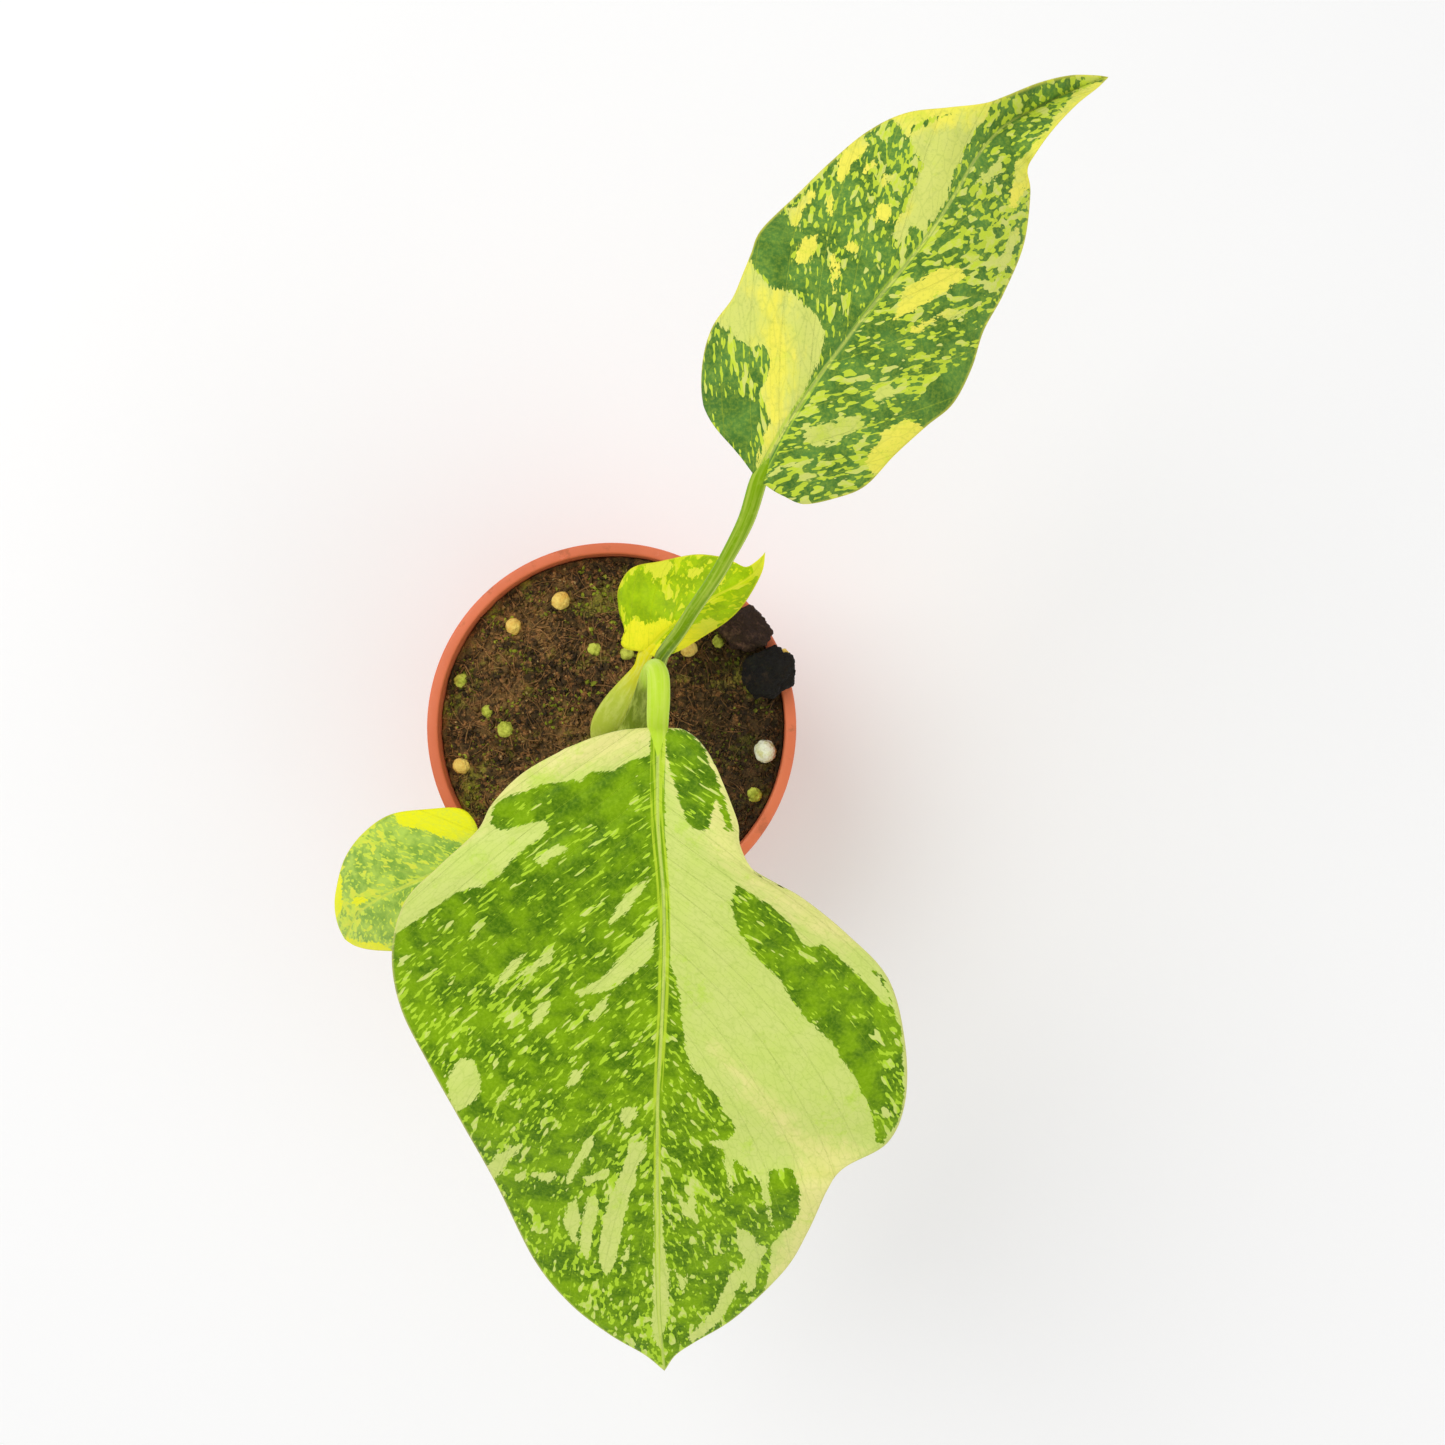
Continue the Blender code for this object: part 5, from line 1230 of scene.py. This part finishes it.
def mix_patch(reach, clumps=0.0, shift=0.0):
    """Part of the mix's surface to strew things on: all of it, or only clumps."""
    step = PATCH_STEP
    count = int(reach / step) + 1
    spots, faces = {}, []

    def corner(i, j):
        """The number of a corner of the patch, which it adds if it is new."""
        if (i, j) not in spots:
            x, y = i * step, j * step
            spots[i, j] = (len(spots), (x * MM, y * MM, (soil_height(x, y, SOIL_CRUMBLE) + 0.1) * MM))
        return spots[i, j][0]

    for i in range(-count, count):
        for j in range(-count, count):
            x, y = (i + 0.5) * step, (j + 0.5) * step
            beside_stem = math.hypot(x - STEM_PLACE[0], y - STEM_PLACE[1]) < STEM_CLEARANCE
            spot = Vector((x * CLUMPS_PER_MM + shift, y * CLUMPS_PER_MM, shift))
            chosen = noise.noise(spot) > clumps - 1
            if math.hypot(x, y) < reach and not beside_stem and chosen:
                faces.append([corner(i, j), corner(i + 1, j), corner(i + 1, j + 1), corner(i, j + 1)])
    mesh = bpy.data.meshes.new("strewn_area")
    mesh.from_pydata([place for _, place in spots.values()], [], faces)
    return mesh


def rough_ball(name, centre, half_sizes, turn, bumps, seed, finish, node, detail=4):
    """A lump with an uneven surface, in place of a CAD node if it has one."""
    work = bmesh.new()
    bmesh.ops.create_icosphere(work, subdivisions=detail, radius=1.0)
    spin = math.radians(turn)
    vertices = []
    for v in work.verts:
        shift = Vector((seed * 3.1, seed * 1.7, 0))
        swell = 1 + bumps * noise.noise(v.co * 1.7 + shift)
        swell += 0.35 * bumps * noise.noise(v.co * 5.1 + shift)
        swell += 0.22 * bumps * noise.noise(v.co * 11.0 + shift)
        x, y, z = (v.co[k] * half_sizes[k] * swell for k in range(3))
        vertices.append((centre[0] + x * math.cos(spin) - y * math.sin(spin),
                         centre[1] + x * math.sin(spin) + y * math.cos(spin), centre[2] + z))
    faces = [[v.index for v in f.verts] for f in work.faces]
    work.free()
    return piece(name, vertices, faces, finish, [node] if node else ())


def make_grains(prefix, grains, finishes, unevenness):
    """Grains half sunk in the mix."""
    for k, (angle, share, size) in enumerate(grains, 1):
        radius = size / 2
        x, y = polar(angle, min(share * soil_radius, soil_radius - radius - 1.2))
        centre = (x, y, soil_height(x, y) + 0.2 * radius)
        halves = (radius, radius * 0.92, radius * 0.9)
        rough_ball(f"{prefix}_grain_{k}", centre, halves, 40 * k, unevenness, k,
                   finishes[(k - 1) % len(finishes)], f"{prefix}_{k}")


def pore_group():
    """Soft stains and small pits of a porous grain."""
    tree, given, out = group("pores", (("Place", VECTOR, None),), ("Stain", "Pit"))
    pits = put(tree, "ShaderNodeTexVoronoi", {"Vector": given["Place"], "Scale": 1500.0})
    tree.links.new(pits.outputs["Distance"], out["Pit"])
    tree.links.new(cloud(tree, given["Place"], 420.0, 3.0, 0.6), out["Stain"])
    return tree


def grain_material(name, made_group, light, shade):
    """A porous grain: its clean colour and a darker one for stains and pits."""
    made, tree, shader = material(name, 0.85, 0.3)
    pores = place_group(tree, made_group,
                        {"Place": object_place(tree)})
    colour = blend(tree, ramp(tree, pores["Stain"], 0.4, 0.68), light, shade)
    colour = blend(tree, ramp(tree, pores["Pit"], 0.0, 0.25, 0.5, 0.0), colour, shade)
    tree.links.new(colour, shader.inputs["Base Color"])
    bump(tree, shader, calc(tree, "ADD", pores["Pit"], pores["Stain"]), 0.25 * MM)
    return made


# ---- Stage -----------------------------------------------------------------------------------
CAMERA_PLACE = (27.0, 1.2, 492.0)
CAMERA_ABOVE_RIM = 420.0
VIEW_WIDTH_AT_RIM = 351.6
SENSOR = 36.0
FLOOR_HALF = 3.0  # metres
WORLD_STRENGTH = 0.71
LIGHTS_AIM = Vector((0.02, 0, 0.12))
SOFTBOXES = (  # name, place in metres, width in metres, watts
    ("key_softbox", (-0.45, 0.35, 0.95), 0.7, 3.8),
    ("fill_softbox", (0.7, -0.5, 0.8), 0.8, 1.4),
)


def make_stage():
    """Floor, soft light and the camera, which looks straight down."""
    made, tree, shader = material("pale_floor", 0.9, 0.2)
    here = object_place(tree)
    shade = blend(tree, cloud(tree, here, 3.0), tint(250, 250, 250), tint(254, 254, 254))
    tree.links.new(shade, shader.inputs["Base Color"])
    mesh = bpy.data.meshes.new("floor")
    half = FLOOR_HALF
    mesh.from_pydata([(-half, -half, 0), (half, -half, 0), (half, half, 0), (-half, half, 0)],
                     [], [(0, 1, 2, 3)])
    mesh.materials.append(made)
    floor = bpy.data.objects.new("floor", mesh)
    bpy.context.scene.collection.objects.link(floor)

    world = bpy.data.worlds.new("soft_room")
    world.use_nodes = True
    background = world.node_tree.nodes["Background"]
    background.inputs["Color"].default_value = (1, 1, 1, 1)
    background.inputs["Strength"].default_value = WORLD_STRENGTH
    scene = bpy.context.scene
    scene.world = world
    for name, place, size, watts in SOFTBOXES:
        light = bpy.data.lights.new(name, "AREA")
        light.shape = "DISK"
        light.size = size
        light.energy = watts
        lamp = bpy.data.objects.new(name, light)
        lamp.location = place
        aim = LIGHTS_AIM - Vector(place)
        lamp.rotation_euler = aim.to_track_quat("-Z", "Y").to_euler()
        scene.collection.objects.link(lamp)
    camera = bpy.data.cameras.new("camera")
    camera.sensor_width = SENSOR
    camera.lens = SENSOR * CAMERA_ABOVE_RIM / VIEW_WIDTH_AT_RIM
    camera.clip_start = 0.01
    viewer = bpy.data.objects.new("camera", camera)
    viewer.location = [c * MM for c in CAMERA_PLACE]
    scene.collection.objects.link(viewer)
    scene.camera = viewer
    scene.view_settings.view_transform = "Standard"


def leaf_materials():
    """The four blades' materials. The small leaves are paler and yellower."""
    groups = {"variegation": variegation_group(), "veins": vein_group(), "midrib": midrib_group(),
              "skin": skin_group()}
    front = blade_material(
        "variegated_leaf", groups,
        (tint(72, 114, 0), tint(124, 166, 0), tint(182, 220, 50), tint(212, 224, 124),
         tint(236, 230, 146), tint(190, 218, 50)),
        {"Blot Amount": -0.3, "Fleck Amount": 0.05, "Speck Amount": 0.08, "Jag": 0.7}, 136.0,
        (1.5, 0.35, 0.85))
    # The rear blade's deep and green colours are its own green greyed by a painted sheen.
    rear = blade_material(
        "speckled_leaf", groups,
        (tint(70, 114, 42), tint(94, 140, 58), tint(204, 224, 60), tint(216, 222, 116),
         tint(248, 238, 92), tint(184, 214, 60)),
        {"Blot Amount": -0.45, "Fleck Amount": 0.32, "Speck Amount": 0.34, "Fleck Scale": 0.7,
         "Jag": 0.8}, 101.0, (0.9, 0.15, 0.6))
    young = blade_material(
        "young_leaf", groups,
        (tint(140, 176, 0), tint(170, 206, 0), tint(212, 226, 20), tint(228, 230, 60),
         tint(252, 244, 44), tint(222, 226, 20)),
        {"Blot Amount": 0.1, "Fleck Amount": 0.3, "Speck Amount": 0.2, "Fleck Length": 1.6,
         "Fleck Scale": 0.5, "Jag": 0.8}, 35.0, (0.8, 0.3, 0.7))
    side = blade_material(
        "side_leaf", groups,
        (tint(130, 172, 66), tint(186, 216, 90), tint(210, 230, 76), tint(226, 232, 74),
         tint(246, 244, 10), tint(212, 228, 104)),
        {"Blot Amount": 0.0, "Fleck Amount": 0.24, "Speck Amount": 0.3, "Fleck Length": 1.4,
         "Fleck Scale": 0.6, "Jag": 0.8}, 43.0, (0.8, 0.3, 0.7))
    return front, rear, young, side


def make_stalks():
    """The four leaf stalks: name, shape, low, high and stripe colours, and where they change."""
    sweep, streaks = stalk_tree(), streak_group()
    for name, stalk, low, high, stripe_and_highlight, stripe_side, stripe_width, change in (
            ("front", FRONT_STALK, (112, 134, 14), (190, 224, 54), (220, 234, 112), 0.25, 0.06,
             (0.6, 0.76)),
            # The rear stalk's broad pale band is partly its own striping and partly a painted highlight
            # along it.
            ("rear", REAR_STALK, (100, 130, 0), (124, 164, 0), (206, 222, 96), 0.03, 0.13,
             (0.6, 0.8)),
            ("back", BACK_STALK, (196, 210, 74), (236, 226, 10), (234, 238, 132), 0.25, 0.1,
             (0.5, 0.9)),
            ("left", LEFT_STALK, (170, 190, 66), (206, 214, 60), (226, 228, 120), 0.25, 0.1,
             (0.6, 0.8))):
        skin = stalk_material(name + "_stalk_skin", streaks, tint(*low), tint(*high),
                              tint(*stripe_and_highlight), stripe_side, stripe_width, change)
        make_stalk(name + "_petiole", name + "_stalk", stalk, sweep, skin)


def mix_materials():
    """Every kind of mix, crumb and lump, by name: dark, brown, red and mossy colours."""
    bits = mix_group()
    return {name: mix_material(name, bits, [tint(*c) for c in colours]) for name, colours in (
        ("damp_mix", ((68, 52, 28), (142, 108, 60), (184, 126, 74), (162, 156, 52))),
        ("dark_crumb", ((48, 36, 22), (100, 76, 46), (144, 104, 64), (112, 106, 42))),
        ("brown_crumb", ((110, 82, 48), (170, 126, 72), (208, 150, 92), (168, 158, 60))),
        ("peat_fibre", ((124, 90, 52), (172, 126, 74), (204, 148, 94), (156, 146, 70))),
        ("algae_film", ((104, 106, 30), (158, 162, 44), (204, 198, 78), (132, 150, 32))),
        ("moss_tuft", ((128, 136, 30), (176, 182, 50), (214, 212, 84), (150, 164, 36))),
        ("pale_chip", ((160, 124, 72), (216, 178, 116), (234, 204, 146), (182, 172, 84))),
        ("damp_bark", ((18, 16, 14), (34, 30, 24), (58, 46, 34), (30, 32, 20))),
        ("peat_clod", ((72, 48, 38), (112, 80, 66), (150, 112, 94), (94, 72, 50))))}


def strew_mix(mixes):
    """Crumbs, fibres, moss, algae and chips over the mix."""
    crumbs, fibres = scatter_tree("crumbs"), scatter_tree("fibres")
    whole = soil_radius - 1.0
    for name, tree, finish, area, density, size, seed in (
            ("dark_crumbs", crumbs, "dark_crumb", mix_patch(whole), 3.6e5, 0.75, 3),
            ("brown_crumbs", crumbs, "brown_crumb", mix_patch(whole), 3.4e5, 0.62, 8),
            ("peat_fibres", fibres, "peat_fibre", mix_patch(whole), 2.0e5, 0.72, 5),
            ("algae_crumbs", crumbs, "algae_film", mix_patch(whole, 1.05, 4.0), 3.6e5, 0.55, 6),
            ("pale_chips", crumbs, "pale_chip", mix_patch(whole, 0.9, 9.0), 2.6e4, 0.55, 7),
            ("bark_bits", crumbs, "damp_mix", mix_patch(whole - 2, 0.8, 12.0), 5.0e4, 1.3, 11),
            ("moss_tufts", crumbs, "moss_tuft", mix_patch(whole - 1, 1.25, 15.0), 1.8e5, 0.8, 12)):
        grow(name, area, tree, {"Density": density, "Size": size * MM, "Seed": seed,
                                "Finish": mixes[finish]})


def make_loose(mixes):
    """The perlite grains and the two lumps on the lip."""
    pores = pore_group()
    cream = grain_material("cream_perlite", pores, tint(255, 222, 116), tint(236, 188, 84))
    white = grain_material("white_perlite", pores, tint(250, 250, 226), tint(222, 220, 150))
    mossy = grain_material("mossy_perlite", pores, tint(208, 214, 84), tint(150, 158, 40))
    make_grains("perlite", PERLITE, (cream, cream, white, cream, cream), 0.12)
    make_grains("green_perlite", GREEN_PERLITE, (mossy,), 0.24)
    rough_ball("rim_grain", (41.6, 17.6, pot_height + 1.5), (1.7, 1.5, 1.4), 0, 0.2, 4, cream,
               None)
    for name, lump, seed, finish in (("bark_lump", BARK_LUMP, 3, "damp_bark"),
                                     ("peat_lump", PEAT_LUMP, 8, "peat_clod")):
        rough_ball(name + "_body", lump_place(lump), lump[2], lump[3] + lump[0], 0.3, seed, mixes[finish],
                   name, 5)


def main():
    """Builds every piece and the stage."""
    make_stage()
    front, rear, young, side = leaf_materials()
    make_stalks()
    make_stem(stem_material())
    make_pot(pot_tree(), pot_material())
    mixes = mix_materials()
    make_soil(mixes["damp_mix"])
    strew_mix(mixes)
    make_loose(mixes)
    for name, leaf, patches, finish, slot in (
            ("front", FRONT_LEAF, FRONT_PATCHES, front, "leaf"),
            ("rear", REAR_LEAF, REAR_PATCHES, rear, "leaf"),
            ("back", BACK_LEAF, BACK_PATCHES, young, "young_leaf"),
            ("left", LEFT_LEAF, LEFT_PATCHES, side, "young_leaf")):
        make_blade(name + "_blade", name + "_leaf", leaf, patches, finish)


main()
